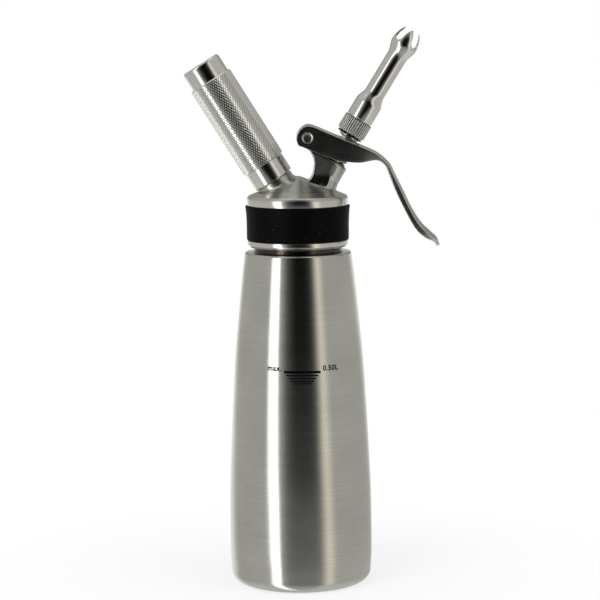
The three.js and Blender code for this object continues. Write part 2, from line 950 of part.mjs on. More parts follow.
// Rubber ring that seals the stem below its guide
function stemRing() {
  const radius = stemRingSection / 2;
  const ringRadius = stemRadius + runningGap + radius;
  const centre = guideBoreStart + seatGap + radius;
  const section = arc(ringRadius, centre, radius, 0, 2 * Math.PI, 8);
  return turned(section.slice(0, -1), midSegments);
}

function stemGuide() {
  const low = guideBoreStart + stemRingSection + 2 * seatGap;
  const flange = springWellFloor + seatGap;
  const profile = [
    [stemRadius + runningGap, low],
    [guideBoreRadius - turnedGap, low],
    [guideBoreRadius - turnedGap, flange],
    [springWellRadius - turnedGap, flange],
    [springWellRadius - turnedGap, flange + guideFlangeThickness],
    [stemRadius + runningGap, flange + guideFlangeThickness],
  ];
  return turned(profile, midSegments);
}

const springLow = springWellFloor + guideFlangeThickness + 2 * seatGap;
const springCapTop = webHeight - leverSheet - 2 * seatGap;
const springCapLow = springCapTop - springCapCrown - springCapThickness;
const springHigh = springCapLow - seatGap;

// The middle of the spring's wire: each end stands straight on its seat for one wire thickness
function springPath() {
  const end = 2 * springWireRadius;
  const rise = springHigh - springLow - 2 * end;
  const steps = springTurns * springStepsPerTurn;
  const coil = Array.from({ length: steps + 1 }, (_, i) => {
    const angle = (2 * Math.PI * i) / springStepsPerTurn;
    return new THREE.Vector3(
      springRadius * Math.cos(angle),
      springRadius * Math.sin(angle),
      springLow + end + (rise * i) / steps,
    );
  });
  const foot = coil[0].clone().setZ(springLow);
  const tip = coil[steps].clone().setZ(springHigh);
  return [foot, ...coil, tip];
}

// Least gap between the wire's surface and itself, measured between points over half a turn apart
function springGap(path) {
  const apart = springStepsPerTurn / 2;
  let least = Infinity;
  path.forEach((p, i) =>
    path.slice(i + apart).forEach((q) => {
      least = Math.min(least, p.distanceTo(q) - 2 * springWireRadius);
    }),
  );
  return least;
}

// One unbroken round wire, its sections square to the path
function spring() {
  const path = springPath();
  const last = path.length - 1;
  const positions = path.flatMap((point, i) => {
    const ahead = path[Math.min(i + 1, last)];
    const behind = path[Math.max(i - 1, 0)];
    const along = ahead.clone().sub(behind).normalize();
    const out = new THREE.Vector3(point.x, point.y, 0).normalize();
    const side = new THREE.Vector3().crossVectors(along, out).normalize();
    return Array.from({ length: springSides }, (_, k) => {
      const angle = (2 * Math.PI * k) / springSides;
      return point
        .clone()
        .addScaledVector(out, springWireRadius * Math.cos(angle))
        .addScaledVector(side, springWireRadius * Math.sin(angle))
        .toArray();
    }).flat();
  });
  return solidOf(sectionedSurface(positions, springSides));
}

// A closed surface through equal sections of a given number of corners, with a flat cap at each end
function sectionedSurface(positions, corners) {
  const sections = positions.length / (3 * corners);
  const faces = [];
  for (let i = 0; i + 1 < sections; i += 1) {
    for (let k = 0; k < corners; k += 1) {
      const next = (k + 1) % corners;
      const a = i * corners + k;
      const b = i * corners + next;
      faces.push(a, b, b + corners, a, b + corners, a + corners);
    }
  }
  const geometry = new THREE.BufferGeometry();
  geometry.setAttribute(
    "position",
    new THREE.BufferAttribute(new Float32Array(positions), 3),
  );
  const start = positions.slice(0, 3 * corners);
  const end = positions.slice(-3 * corners);
  const endOffset = (sections - 1) * corners;
  faces.push(...capFaces(start, corners, 0, true));
  faces.push(...capFaces(end, corners, endOffset, false));
  geometry.setIndex(faces);
  return geometry;
}

// Triangles over one flat end section, which may be hollow-sided
function capFaces(points, corners, offset, first) {
  const at = (k) => new THREE.Vector3(...points.slice(3 * k, 3 * k + 3));
  const normal = new THREE.Vector3();
  for (let k = 0; k < corners; k += 1) {
    normal.add(at(k).cross(at((k + 1) % corners)));
  }
  normal.normalize();
  const turn = new THREE.Quaternion().setFromUnitVectors(
    normal,
    new THREE.Vector3(0, 0, 1),
  );
  const flat = Array.from({ length: corners }, (_, k) => {
    const p = at(k).applyQuaternion(turn);
    return new THREE.Vector2(p.x, p.y);
  });
  return THREE.ShapeUtils.triangulateShape(flat, []).flatMap(([a, b, c]) =>
    first
      ? [offset + a, offset + c, offset + b]
      : [offset + a, offset + b, offset + c],
  );
}

function springCap() {
  const inner = stemRadius + turnedGap;
  const crown = Array.from({ length: 5 }, (_, i) => {
    const share = i / 4;
    return [
      springCapRadius - (springCapRadius - inner) * share,
      springCapTop - springCapCrown * (1 - share) ** 2,
    ];
  });
  return turned(
    [[inner, springCapLow], [springCapRadius, springCapLow], ...crown],
    midSegments,
  );
}

// Section of the lever's sheet, as [across, depth below its outer face], from one wall's edge round to
// the other and back along the inside
function leverSection(halfWidth, crown, depth) {
  const flat = halfWidth - leverCorner;
  const face = (sheet) => {
    const radius = leverCorner - sheet;
    const corner = arc(
      flat,
      crown + leverCorner,
      radius,
      0,
      -Math.PI / 2,
      leverCornerSteps,
    );
    const web = Array.from({ length: leverCrownSteps }, (_, i) => {
      const y = flat * (1 - (i + 1) / leverCrownSteps);
      return [y, crown * (y / flat) ** 2 + sheet];
    });
    const half = [[flat + radius, depth], ...corner, ...web];
    const mirrored = half.slice(0, -1).map(([y, drop]) => [-y, drop]);
    return [...half, ...mirrored.reverse()];
  };
  return [...face(0), ...face(leverSheet).reverse()];
}

// The lever's rows in the model's frame: outer face, wall edge, and the shares of width and crown
function leverRows() {
  const pin = new THREE.Vector2(pivotX, pivotZ);
  const toWeb = new THREE.Vector2(...valvePoint(0, webHeight)).sub(pin);
  const rowsFrom = (shares, origin, scale) =>
    shares.map(([outerX, outerZ, edgeX, edgeZ, width, crown]) => ({
      outer: new THREE.Vector2(outerX, outerZ).multiplyScalar(scale).add(origin),
      edge: new THREE.Vector2(edgeX, edgeZ).multiplyScalar(scale).add(origin),
      form: new THREE.Vector2(width, crown),
    }));
  const body = rowsFrom(leverBodyShares, new THREE.Vector2(), toWeb.length());
  const bodyEnd = body[body.length - 1].outer;
  const handle = rowsFrom(leverHandleShares, bodyEnd, handleReach);
  const inModel = (point) =>
    point.clone().rotateAround(new THREE.Vector2(), toWeb.angle()).add(pin);
  return [...body, ...handle].map(({ outer, edge, form }) => ({
    outer: inModel(outer),
    edge: inModel(edge),
    form,
  }));
}

// The channel before its holes are cut: sections that follow the sheet's outer face and the walls' edges
function leverChannel() {
  const rows = leverRows();
  const outer = new THREE.SplineCurve(rows.map((row) => row.outer));
  const edge = new THREE.SplineCurve(rows.map((row) => row.edge));
  const form = new THREE.SplineCurve(rows.map((row) => row.form));
  const sections = Array.from({ length: leverStations + 1 }, (_, i) => {
    const share = i / leverStations;
    const top = outer.getPoint(share);
    const low = edge.getPoint(share);
    const { x: widthShare, y: crownShare } = form.getPoint(share);
    const crown = crownShare * leverCrown;
    const least = crown + leverCorner + leverLip;
    const depth = Math.max(top.distanceTo(low), least);
    const down = low.clone().sub(top).normalize();
    return leverSection(widthShare * leverHalfWidth, crown, depth).map(
      ([y, drop]) => [top.x + down.x * drop, y, top.y + down.y * drop],
    );
  });
  const corners = sections[0].length;
  return solidOf(sectionedSurface(sections.flat(2), corners));
}

// Long hole through the lever's web for the stem, which slides along it as the lever turns
function stemSlot() {
  const end = slotHalfLength - slotHalfWidth;
  const shape = new THREE.Shape();
  shape.absarc(end, 0, slotHalfWidth, -Math.PI / 2, Math.PI / 2);
  shape.absarc(-end, 0, slotHalfWidth, Math.PI / 2, (3 * Math.PI) / 2);
  const slot = new THREE.ExtrudeGeometry(shape, {
    depth: 2 * leverHalfWidth,
    bevelEnabled: false,
    curveSegments: smallSegments / 2,
  });
  slot.translate(0, 0, springCapLow);
  return leant(solidOf(slot), valveAxisHeight, valveTilt);
}

function lever() {
  const reach = leverHalfWidth + cutOverrun;
  return cut(
    leverChannel(),
    pinBar(pinRadius + runningGap, reach, smallSegments),
    stemSlot(),
  );
}

// A solid made along Z, laid along the pin: its top end faces the front
function alongPin(solid) {
  return solid.rotate([90, 0, 0]).translate([pivotX, 0, pivotZ]);
}

const clipStart = -leverHalfWidth - runningGap;

function leverPin() {
  const front = leverHalfWidth + runningGap;
  const face = front + pinHeadThickness;
  const grooveEnd = clipStart - clipThickness - 2 * runningGap;
  const tail = grooveEnd - pinTail / 2;
  const waist = pinRadius - pinDimpleDepth;
  const profile = [
    [0, tail],
    [pinRadius - runningGap, tail],
    [pinRadius, tail + runningGap],
    [pinRadius, grooveEnd],
    [waist, grooveEnd],
    [waist, clipStart + runningGap / 2],
    [pinRadius, clipStart + runningGap / 2],
    [pinRadius, front],
    [pinHeadRadius, front],
    [pinHeadRadius, face - runningGap],
    [pinHeadRadius - runningGap, face],
    [pinDimpleRadius, face],
    [pinDimpleRadius - pinDimpleDepth, face - pinDimpleDepth],
    [0, face - pinDimpleDepth],
  ];
  return alongPin(turned(profile, smallSegments));
}

// Open spring clip in the groove at the pin's back end
function pinClip() {
  const inner = pinRadius - pinDimpleDepth + runningGap;
  const half = clipOpening / 2;
  const shape = new THREE.Shape();
  shape.absarc(0, 0, clipRadius, half, 2 * Math.PI - half);
  shape.absarc(0, 0, inner, 2 * Math.PI - half, half, true);
  const ring = new THREE.ExtrudeGeometry(shape, {
    depth: clipThickness,
    bevelEnabled: false,
    curveSegments: smallSegments,
  });
  ring.translate(0, 0, clipStart - clipThickness - runningGap);
  return alongPin(solidOf(ring));
}

// The adapter screwed on the stem above the lever, with the thread that takes the nozzle's collar
function nozzleAdapter() {
  const profile = [
    [adapterBore, adapterStart],
    [adapterNeckRadius, adapterStart],
    [adapterFlangeRadius, adapterRim],
    [adapterFlangeRadius, adapterFlangeTop],
    [adapterStubRadius, adapterFlangeTop],
    [adapterStubRadius, adapterTop - runningGap],
    [adapterStubRadius - runningGap, adapterTop],
    [adapterBore, adapterTop],
  ];
  return turned(profile, midSegments);
}

function nozzleSeal() {
  const high = nozzleSealStart + nozzleSealThickness;
  const inner = adapterStubRadius + turnedGap;
  return washer(inner, nozzleSealRadius, nozzleSealStart, high, midSegments);
}

// Knurled collar: a turned nut whose side is cut into straight ribs
function nozzleCollar() {
  const top = collarStart + collarLength;
  const socket = nozzleSpigotRadius + turnedGap;
  const blank = turned(
    [
      [collarBore, collarStart],
      [collarRadius - collarChamfer, collarStart],
      [collarRadius, collarStart + collarChamfer],
      [collarRadius, top - collarChamfer / 2],
      [collarRadius - collarChamfer / 2, top],
      [socket, top],
      [socket, top - collarSocketDepth],
      [collarBore, top - collarSocketDepth],
    ],
    2 * collarRibs,
  );
  const ribs = new THREE.Shape(
    Array.from({ length: 2 * collarRibs }, (_, i) => {
      const angle = (Math.PI * i) / collarRibs;
      const radius = collarRadius - (i % 2) * collarRibDepth;
      return new THREE.Vector2(
        radius * Math.cos(angle),
        radius * Math.sin(angle),
      );
    }),
  );
  const star = new THREE.ExtrudeGeometry(ribs, {
    depth: collarLength + 2 * cutOverrun,
    bevelEnabled: false,
  });
  star.translate(0, 0, collarStart - cutOverrun);
  return blank.intersect(solidOf(star));
}

const spigotStart = collarStart + collarLength - collarSocketDepth + seatGap;
const barrelStart = collarStart + collarLength + seatGap;
const tubeStart = barrelStart + barrelLength + nozzleShoulder;
const tulipStart = tubeStart + tubeLength;
const tineTip = tulipStart + tulipLength;

// One of the two crossing slots that part the tulip into tines, wider at its mouth
function tineSlot(turn) {
  const bottom = tineTip - tineLength + tineSlotHalfWidth;
  const top = tineTip + cutOverrun;
  const outline = [
    ...arc(0, bottom, tineSlotHalfWidth, Math.PI, 2 * Math.PI, 6),
    [tineSlotMouth, top],
    [-tineSlotMouth, top],
  ];
  return extruded(outline, tulipRadius + cutOverrun).rotate([0, 0, turn]);
}

// Nozzle: spigot, barrel, narrow tube and a tulip of four tines, bored through
function nozzle() {
  const barrelTop = barrelStart + barrelLength;
  const shoulder = (tubeRadius + barrelRadius) / 2;
  const tulip = smoothed(tulipShares, tulipLength, tulipFlare, tulipSteps).map(
    ([z, out]) => [tubeRadius + out, tulipStart + z],
  );
  const tulipInside = tulip.map(([r, z], i) => {
    const share = i / tulipSteps;
    const wall = tulipWall + (tineTipWall - tulipWall) * share;
    return [Math.max(r - wall, share < tulipShares[1][0] ? tubeBore : 0), z];
  });
  const outer = [
    [nozzleSpigotRadius, spigotStart],
    [nozzleSpigotRadius, barrelStart],
    [barrelRadius - barrelEdge, barrelStart],
    [barrelRadius, barrelStart + barrelEdge],
    [barrelRadius, barrelTop],
    [barrelRadius - barrelEdge, barrelTop + nozzleShoulder / 4],
    [shoulder, barrelTop + nozzleShoulder / 2],
    [tubeRadius + barrelEdge, barrelTop + (3 * nozzleShoulder) / 4],
    [tubeRadius, tubeStart],
    ...tulip,
  ];
  const inner = [
    [barrelBore, spigotStart],
    [barrelBore, barrelTop],
    [tubeBore, tubeStart],
    ...tulipInside,
  ];
  const blank = turned([...outer, ...inner.reverse()], midSegments);
  return cut(blank, ...tineTurns.map(tineSlot));
}

addPiece("bottle", bottle(), brushedSteel);
addPiece("head_gasket", headGasket(), blackRubber);
addPiece("head", head(), satinSteel);
addPiece("grip_ring", gripRing(), blackRubber);

addPiece("charging_valve_body", chargingValveBody(), polishedSteel, chargerSide);
addPiece("check_valve_sleeve", checkValveSleeve(), blackRubber, chargerSide);
addPiece("piercing_pin", piercingPin(), polishedSteel, chargerSide);
addPiece("charger_seal", chargerSeal(), blackRubber, chargerSide);
addPiece("gas_charger", gasCharger(), polishedSteel, chargerSide);
addPiece("charger_holder", chargerHolder(), polishedSteel, chargerSide);

addPiece("valve_seal", valveSeal(), blackRubber, valveSide);
addPiece("valve_stem", valveStem(), polishedSteel, valveSide);
addPiece("stem_ring", stemRing(), blackRubber, valveSide);
addPiece("stem_guide", stemGuide(), polishedSteel, valveSide);
addPiece("valve_spring", spring(), springSteel, valveSide);
addPiece("spring_cap", springCap(), polishedSteel, valveSide);
addPiece("nozzle_adapter", nozzleAdapter(), polishedSteel, valveSide);
addPiece("nozzle_seal", nozzleSeal(), blackRubber, valveSide);
addPiece("nozzle_collar", nozzleCollar(), polishedSteel, valveSide);
addPiece("nozzle", nozzle(), polishedSteel, valveSide);

addPiece("lever", lever(), polishedSteel);
addPiece("lever_pin", leverPin(), polishedSteel);
addPiece("pin_clip", pinClip(), polishedSteel);

const leastSpringGap = springGap(springPath());
console.log(`valve spring: least gap ${leastSpringGap.toFixed(2)} mm`);

export default model;
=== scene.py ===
import math

import bmesh
import bpy
import numpy as np
from mathutils import Matrix, Vector


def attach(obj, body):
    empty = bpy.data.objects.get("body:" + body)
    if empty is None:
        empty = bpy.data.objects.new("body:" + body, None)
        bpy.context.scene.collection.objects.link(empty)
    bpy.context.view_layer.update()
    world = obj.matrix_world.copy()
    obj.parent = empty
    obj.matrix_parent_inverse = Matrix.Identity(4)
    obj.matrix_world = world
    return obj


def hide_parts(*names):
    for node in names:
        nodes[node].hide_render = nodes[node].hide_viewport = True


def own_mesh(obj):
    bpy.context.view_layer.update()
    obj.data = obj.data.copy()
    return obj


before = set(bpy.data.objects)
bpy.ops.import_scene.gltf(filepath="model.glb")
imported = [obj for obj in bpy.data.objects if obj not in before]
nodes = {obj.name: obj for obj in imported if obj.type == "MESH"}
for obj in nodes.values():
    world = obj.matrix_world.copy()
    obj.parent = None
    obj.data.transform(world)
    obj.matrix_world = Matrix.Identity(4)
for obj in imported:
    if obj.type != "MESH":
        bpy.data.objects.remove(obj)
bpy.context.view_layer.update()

MM = 0.001
TURN = 2 * math.pi
collection = bpy.context.scene.collection


# Node trees
def feed(tree, node, inputs):
    """Links sockets to a node's inputs, and sets plain values on them."""
    for key, value in inputs.items():
        if isinstance(value, bpy.types.NodeSocket):
            tree.links.new(value, node.inputs[key])
        else:
            node.inputs[key].default_value = value


def add(tree, kind, inputs=None, **props):
    made = tree.nodes.new("ShaderNode" + kind)
    for key, value in props.items():
        setattr(made, key, value)
    feed(tree, made, inputs or {})
    return made


def ramp(tree, factor, stops):
    """A colour ramp through (place, colour) stops, where one number stands for a grey."""
    made = add(tree, "ValToRGB", {"Fac": factor})
    elements = made.color_ramp.elements
    while len(elements) > 1:
        elements.remove(elements[-1])
    for i, (place, colour) in enumerate(stops):
        if np.isscalar(colour):
            colour = (colour, colour, colour)
        element = elements[0] if i == 0 else elements.new(place)
        element.position = place
        element.color = (*colour, 1)
    return made.outputs["Color"]


def maths(tree, operation, *values):
    return add(tree, "Math", dict(enumerate(values)), operation=operation).outputs[0]


def vector_maths(tree, operation, *values):
    made = add(tree, "VectorMath", dict(enumerate(values)), operation=operation)
    return made.outputs["Vector"]


def mapped(tree, value, low, high, to_low=0.0, to_high=1.0, kind="LINEAR"):
    """A value carried from one range to another, and held at the ends."""
    ranges = {"From Min": low, "From Max": high, "To Min": to_low, "To Max": to_high}
    made = add(tree, "MapRange", {"Value": value, **ranges}, interpolation_type=kind)
    return made.outputs["Result"]


def blend(tree, factor, a, b):
    return add(tree, "Mix", {"Factor": factor, "A": a, "B": b}, data_type="RGBA").outputs[2]


def noise(tree, vector, scale, detail=2.0, roughness=0.5, squeeze=(1, 1, 1)):
    made = add(tree, "TexNoise", {
        "Vector": vector_maths(tree, "MULTIPLY", vector, squeeze),
        "Scale": scale, "Detail": detail, "Roughness": roughness,
    })
    return made.outputs["Fac"]


def bumped(tree, height, strength, depth):
    made = add(tree, "Bump", {"Height": height, "Strength": strength, "Distance": depth})
    return made.outputs["Normal"]


def object_place(tree):
    return add(tree, "TexCoord").outputs["Object"]


def new_material(name):
    made = bpy.data.materials.new(name)
    made.use_nodes = True
    tree = made.node_tree
    tree.nodes.clear()
    shader = add(tree, "BsdfPrincipled")
    add(tree, "OutputMaterial", {"Surface": shader.outputs[0]})
    return made, tree, shader


def show(tree, surface):
    """Puts another surface in the place of a material's plain shader."""
    feed(tree, tree.get_output_node("ALL"), {"Surface": surface})


# Axes: the height where each one crosses the bottle's axis, and its lean
CHARGER_AXIS = (202.7, math.radians(-31.8))
VALVE_AXIS = (201.0, math.radians(31.7))
UPRIGHT = (0.0, 0.0)


def placed(axis):
    height, lean = axis
    return Matrix.Translation((0, 0, height * MM)) @ Matrix.Rotation(lean, 4, "Y")


def axis_vector(axis):
    return Vector((math.sin(axis[1]), 0, math.cos(axis[1])))


def valve_point(across, along):
    """X and Z of a point in the middle plane, from its place beside and along the valve's axis."""
    height, lean = VALVE_AXIS
    return (across * math.cos(lean) + along * math.sin(lean),
            height - across * math.sin(lean) + along * math.cos(lean))


# Materials
def along_axis(tree, axis):
    """Object coordinates turned so that Z runs along one of the axes."""
    height, lean = axis
    moved = vector_maths(tree, "SUBTRACT", object_place(tree), (0, 0, height * MM))
    turned = add(tree, "VectorRotate", {"Vector": moved, "Angle": -lean}, rotation_type="Y_AXIS")
    return turned.outputs["Vector"]


def round_tangent(tree, axis):
    """The direction round an axis, for the way that the tool marks run."""
    normal = add(tree, "NewGeometry").outputs["Normal"]
    return vector_maths(tree, "CROSS_PRODUCT", tuple(axis_vector(axis)), normal)


def shade(colour, factor):
    return tuple(min(1, c * factor) for c in colour)


def turned_steel(name, axis, colour, rough, spread, streak=0.03, size=7000, anisotropy=0.0,
                 bump=0.0, blotch=0.04):
    """Steel whose brushing or turning marks run round an axis.

    The marks vary the tint by the share streak and the roughness by spread, and soft clouds
    take the share blotch of the tint. A larger size makes finer marks.
    """
    made, tree, shader = new_material(name)
    place = along_axis(tree, axis)
    fine = noise(tree, place, size, 3, 0.6, (0.008, 0.008, 1))
    coarse = noise(tree, place, size * 0.4, 2, 0.6, (0.01, 0.01, 1))
    clouds = noise(tree, place, 38, 3, 0.55)
    lines = maths(tree, "ADD", maths(tree, "MULTIPLY", fine, 0.55),
                  maths(tree, "MULTIPLY", coarse, 0.45))
    both = maths(tree, "MULTIPLY_ADD", lines, streak, maths(tree, "MULTIPLY", clouds, blotch))
    span = streak + blotch
    feed(tree, shader, {
        "Base Color": ramp(tree, both, [(0.25 * span, shade(colour, 1 - streak)),
                                        (0.75 * span, shade(colour, 1 + streak))]),
        "Metallic": 1,
        "Roughness": maths(tree, "MULTIPLY_ADD", lines, spread, rough - spread / 2),
    })
    if anisotropy:
        feed(tree, shader, {"Anisotropic": anisotropy, "Anisotropic Rotation": 0.25,
                            "Tangent": round_tangent(tree, axis)})
    if bump:
        feed(tree, shader, {"Normal": bumped(tree, fine, bump, 0.00002)})
    return made


def cast_steel(name, colour, rough, grain_depth=0.25):
    """Satin steel with a fine grain and faint rubbed places."""
    made, tree, shader = new_material(name)
    place = object_place(tree)
    grain = noise(tree, place, 2600, 2, 0.6)
    clouds = noise(tree, place, 130, 3, 0.6)
    feed(tree, shader, {
        "Base Color": ramp(tree, clouds, [(0.3, shade(colour, 0.9)), (0.7, shade(colour, 1.08))]),
        "Metallic": 1,
        "Roughness": maths(tree, "MULTIPLY_ADD", clouds, 0.3 * rough, 0.85 * rough),
        "Normal": bumped(tree, grain, grain_depth, 0.00003),
    })
    return made


def rubber(name, colour, rough, dust):
    """Matte black silicone with specks of dust."""
    made, tree, shader = new_material(name)
    place = object_place(tree)
    cells = add(tree, "TexVoronoi", {"Vector": place, "Scale": 640}, feature="F1")
    speck = ramp(tree, cells.outputs["Distance"], [(0, 1), (0.1, 1), (0.14, 0)])
    thinned = ramp(tree, noise(tree, place, 420, 1), [(0.55, 0), (0.62, 1)])
    specks = maths(tree, "MULTIPLY", maths(tree, "MULTIPLY", speck, thinned), dust)
    clouds = noise(tree, place, 90, 3, 0.6)
    base = ramp(tree, clouds, [(0.3, shade(colour, 0.8)), (0.7, shade(colour, 1.3))])
    feed(tree, shader, {
        "Base Color": blend(tree, specks, base, (0.3, 0.3, 0.29, 1)),
        "Roughness": rough,
        "Specular IOR Level": 0.06,
        "Normal": bumped(tree, noise(tree, place, 1800, 3), 0.3, 0.00004),
    })
    return made


def ink(name):
    made, tree, shader = new_material(name)
    worn = noise(tree, object_place(tree), 1500, 3, 0.6)
    feed(tree, shader, {"Base Color": ramp(tree, worn, [(0.3, 0.0015), (0.75, 0.004)]),
                        "Roughness": 0.9, "Specular IOR Level": 0.01})
    return made


STEEL = (0.598, 0.602, 0.562)
PALE_STEEL = (0.76, 0.755, 0.73)
# A dark steel colour that paints shade: on the neck under the head and deep in the collar's
# grooves
PAINTED_SHADE_STEEL = (0.075, 0.066, 0.057)
bottle_steel = turned_steel("bottle_steel", UPRIGHT, STEEL, 0.17, 0.16, streak=0.2, size=5200,
                            anisotropy=0.8, bump=0.3, blotch=0.14)
# Painted shade: the neck's dark steel stands in for the shade under the head
neck_painted_shade = turned_steel("neck_painted_shade", UPRIGHT, PAINTED_SHADE_STEEL, 0.07, 0.02, streak=0.05, size=5200,
                          bump=0.05)
head_steel = turned_steel("head_turned_steel", UPRIGHT, STEEL, 0.3, 0.07, streak=0.06, size=6500,
                          anisotropy=0.5, bump=0.25)
band_steel = turned_steel("head_band_steel", UPRIGHT, PALE_STEEL, 0.16, 0.05, streak=0.04,
                          size=6500, anisotropy=0.5, bump=0.1)
cast = cast_steel("head_cast_steel", (0.57, 0.565, 0.535), 0.29)
web_steel = cast_steel("head_web_steel", (0.56, 0.555, 0.53), 0.17, 0.12)
holder_steel = turned_steel("holder_steel", CHARGER_AXIS, PALE_STEEL, 0.1, 0.03, anisotropy=0.4,
                            bump=0.04)
knurl_steel = turned_steel("knurl_steel", CHARGER_AXIS, (0.81, 0.81, 0.78), 0.14, 0.04,
                           blotch=0.08)
nozzle_steel = turned_steel("nozzle_steel", VALVE_AXIS, PALE_STEEL, 0.09, 0.03, anisotropy=0.4,
                            bump=0.03)
collar_steel = turned_steel("collar_steel", VALVE_AXIS, PALE_STEEL, 0.22, 0.05, blotch=0.08)
# Painted shade: a dark steel for the shade deep in the collar's grooves
groove_painted_shade = turned_steel("groove_painted_shade", VALVE_AXIS, PAINTED_SHADE_STEEL, 0.4, 0.05, streak=0.05,
                            size=5200)
lever_steel = cast_steel("lever_steel", (0.6, 0.6, 0.58), 0.21, 0.05)
pin_steel = cast_steel("pin_steel", (0.66, 0.66, 0.64), 0.24, 0.05)
spring_steel = turned_steel("spring_wire", VALVE_AXIS, (0.3, 0.3, 0.29), 0.3, 0.06, streak=0.08,
                            size=3000)
black_rubber = rubber("black_silicone", (0.0012, 0.0013, 0.0016), 0.5, 0.38)
seal_rubber = rubber("seal_rubber", (0.003, 0.003, 0.003), 0.6, 0.15)
mark_ink = ink("mark_ink")


# Pieces: their meshes are made in millimetres, with their own axis along Z
def new_piece(name, bm, material):
    mesh = bpy.data.meshes.new(name)
    bm.to_mesh(mesh)
    bm.free()
    mesh.materials.append(material)
    piece = bpy.data.objects.new(name, mesh)
    collection.objects.link(piece)
    return piece


def finish_piece(name, bm, material, body=None, node=None, axis=UPRIGHT,
                 crisp=28):
    """A piece in its place, dressed at once if its body is given."""
    bmesh.ops.recalc_face_normals(bm, faces=bm.faces)
    piece = new_piece(name, bm, material)
    piece.data.transform(Matrix.Scale(MM, 4))
    piece.data.transform(placed(axis))
    reshade(piece, crisp)
    if body:
        dress(piece, body, node)
    return piece


def reshade(piece, crisp):
    for polygon in piece.data.polygons:
        polygon.use_smooth = True
    piece.data.set_sharp_from_angle(angle=math.radians(crisp))


def dress(piece, body, node=None):
    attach(piece, body)
    if node:
        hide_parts(node)


def paint(piece, material, where, axis=UPRIGHT):
    """Gives a second material to the faces that where(centre, radius) picks out."""
    piece.data.materials.append(material)
    into_axis = placed(axis).inverted()
    picked = []
    for polygon in piece.data.polygons:
        centre = (into_axis @ polygon.center) / MM
        if where(centre, math.hypot(centre.x, centre.y)):
            polygon.material_index = 1
            picked.append(polygon)
    return picked


def bake_modifiers(piece):
    bpy.context.view_layer.update()
    evaluated = piece.evaluated_get(bpy.context.evaluated_depsgraph_get())
    mesh = bpy.data.meshes.new_from_object(evaluated)
    piece.modifiers.clear()
    piece.data = mesh


def helper(name, bm, axis=UPRIGHT):
    """A mesh that is only cut from a piece or joined to one."""
    return finish_piece(name, bm, cast, axis=axis)


def boolean(piece, tool, operation="DIFFERENCE"):
    change = piece.modifiers.new("cut", "BOOLEAN")
    change.operation = operation
    change.solver = "EXACT"
    change.object = tool
    bake_modifiers(piece)
    bpy.data.objects.remove(tool)


# Outlines and meshes
def rounded(points, steps=4):
    """A run of (radius, height, rounding): each corner becomes an arc of its rounding."""
    made = []
    for i, point in enumerate(points):
        here = Vector(point[:2])
        radius = point[2] if len(point) > 2 else 0
        if not radius:
            made.append(tuple(here))
            continue
        before = Vector(points[i - 1][:2]) - here
        after = Vector(points[(i + 1) % len(points)][:2]) - here
        half = before.angle(after) / 2
        reach = min(radius / math.tan(half), before.length * 0.49, after.length * 0.49)
        start = here + before.normalized() * reach
        end = here + after.normalized() * reach
        size = reach * math.tan(half)
        middle = (before.normalized() + after.normalized()).normalized()
        centre = here + middle * size / math.sin(half)
        a, b = start - centre, end - centre
        swing = a.angle(b)
        for k in range(steps + 1):
            share = k / steps
            arm = a * math.sin((1 - share) * swing) + b * math.sin(share * swing)
            made.append(tuple(centre + arm / math.sin(swing)))
    return made


def run(a, b, steps):
    """Points between two corners, the corners themselves left out."""
    return [tuple(Vector(a) + (Vector(b) - Vector(a)) * k / steps) for k in range(1, steps)]


def corner_arc(centre_x, centre_z, radius, start, end, steps):
    return [
        (centre_x + radius * math.cos(a), centre_z + radius * math.sin(a))
        for a in np.radians(np.linspace(start, end, steps + 1))
    ]


def spline(points, steps):
    """Even parameter steps along a Catmull-Rom curve through vectors or rows of numbers."""
    last = len(points) - 1
    made = []
    for i in range(steps + 1):
        place = last * i / steps
        k = min(int(place), last - 1)
        t = place - k
        p = [points[max(0, min(last, j))] for j in (k - 1, k, k + 1, k + 2)]
        v0, v1 = (p[2] - p[0]) / 2, (p[3] - p[1]) / 2
        a = (2 * t**3 - 3 * t**2 + 1) * p[1] + (t**3 - 2 * t**2 + t) * v0
        b = (-2 * t**3 + 3 * t**2) * p[2] + (t**3 - t**2) * v1
        made.append(a + b)
    return made


def lathe(profile, segments, form=None):
    """A turned closed surface.

    form(radius, height, angle) may move each point in or out. A third value in the profile
    turns that ring by a share of a step, and triangles lead to it.
    """
    bm = bmesh.new()
    rings = []
    for r, z, *turned in profile:
        shift = turned[0] if turned else 0
        if r < 1e-6:
            rings.append(([bm.verts.new((0, 0, z))], 0))
            continue
        ring = []
        for k in range(segments):
            angle = TURN * (k + shift) / segments
            radius = form(r, z, angle) if form else r
            ring.append(bm.verts.new((radius * math.cos(angle), radius * math.sin(angle), z)))
        rings.append((ring, shift))
    pairs = list(zip(rings, rings[1:]))
    if len(rings[0][0]) > 1 or len(rings[-1][0]) > 1:
        pairs.append((rings[-1], rings[0]))
    for (low, low_shift), (high, high_shift) in pairs:
        for k in range(segments):
            n = (k + 1) % segments
            a, b = low[k % len(low)], low[n % len(low)]
            c, d = high[n % len(high)], high[k % len(high)]
            if low_shift < high_shift:
                faces = [(a, b, d), (b, c, d)]
            elif low_shift > high_shift:
                faces = [(a, c, d), (a, b, c)]
            else:
                faces = [(a, b, c, d)]
            for corners in faces:
                corners = [v for i, v in enumerate(corners) if v not in corners[:i]]
                if len(corners) > 2:
                    bm.faces.new(corners)
    return bm


def tube(rings, capped=True):
    """A surface through closed rings of points, with a face over each end."""
    bm = bmesh.new()
    rings = [[bm.verts.new(point) for point in ring] for ring in rings]
    for a, b in zip(rings, rings[1:]):
        for k in range(len(a)):
            n = (k + 1) % len(a)
            bm.faces.new((a[k], a[n], b[n], b[k]))
    if capped:
        bm.faces.new(rings[0])
        bm.faces.new(list(reversed(rings[-1])))
    return bm


def extruded(outline, half_width):
    """An outline of X and Z, made solid to both sides of the middle plane."""
    return tube([[(x, y, z) for x, z in outline] for y in (-half_width, half_width)])


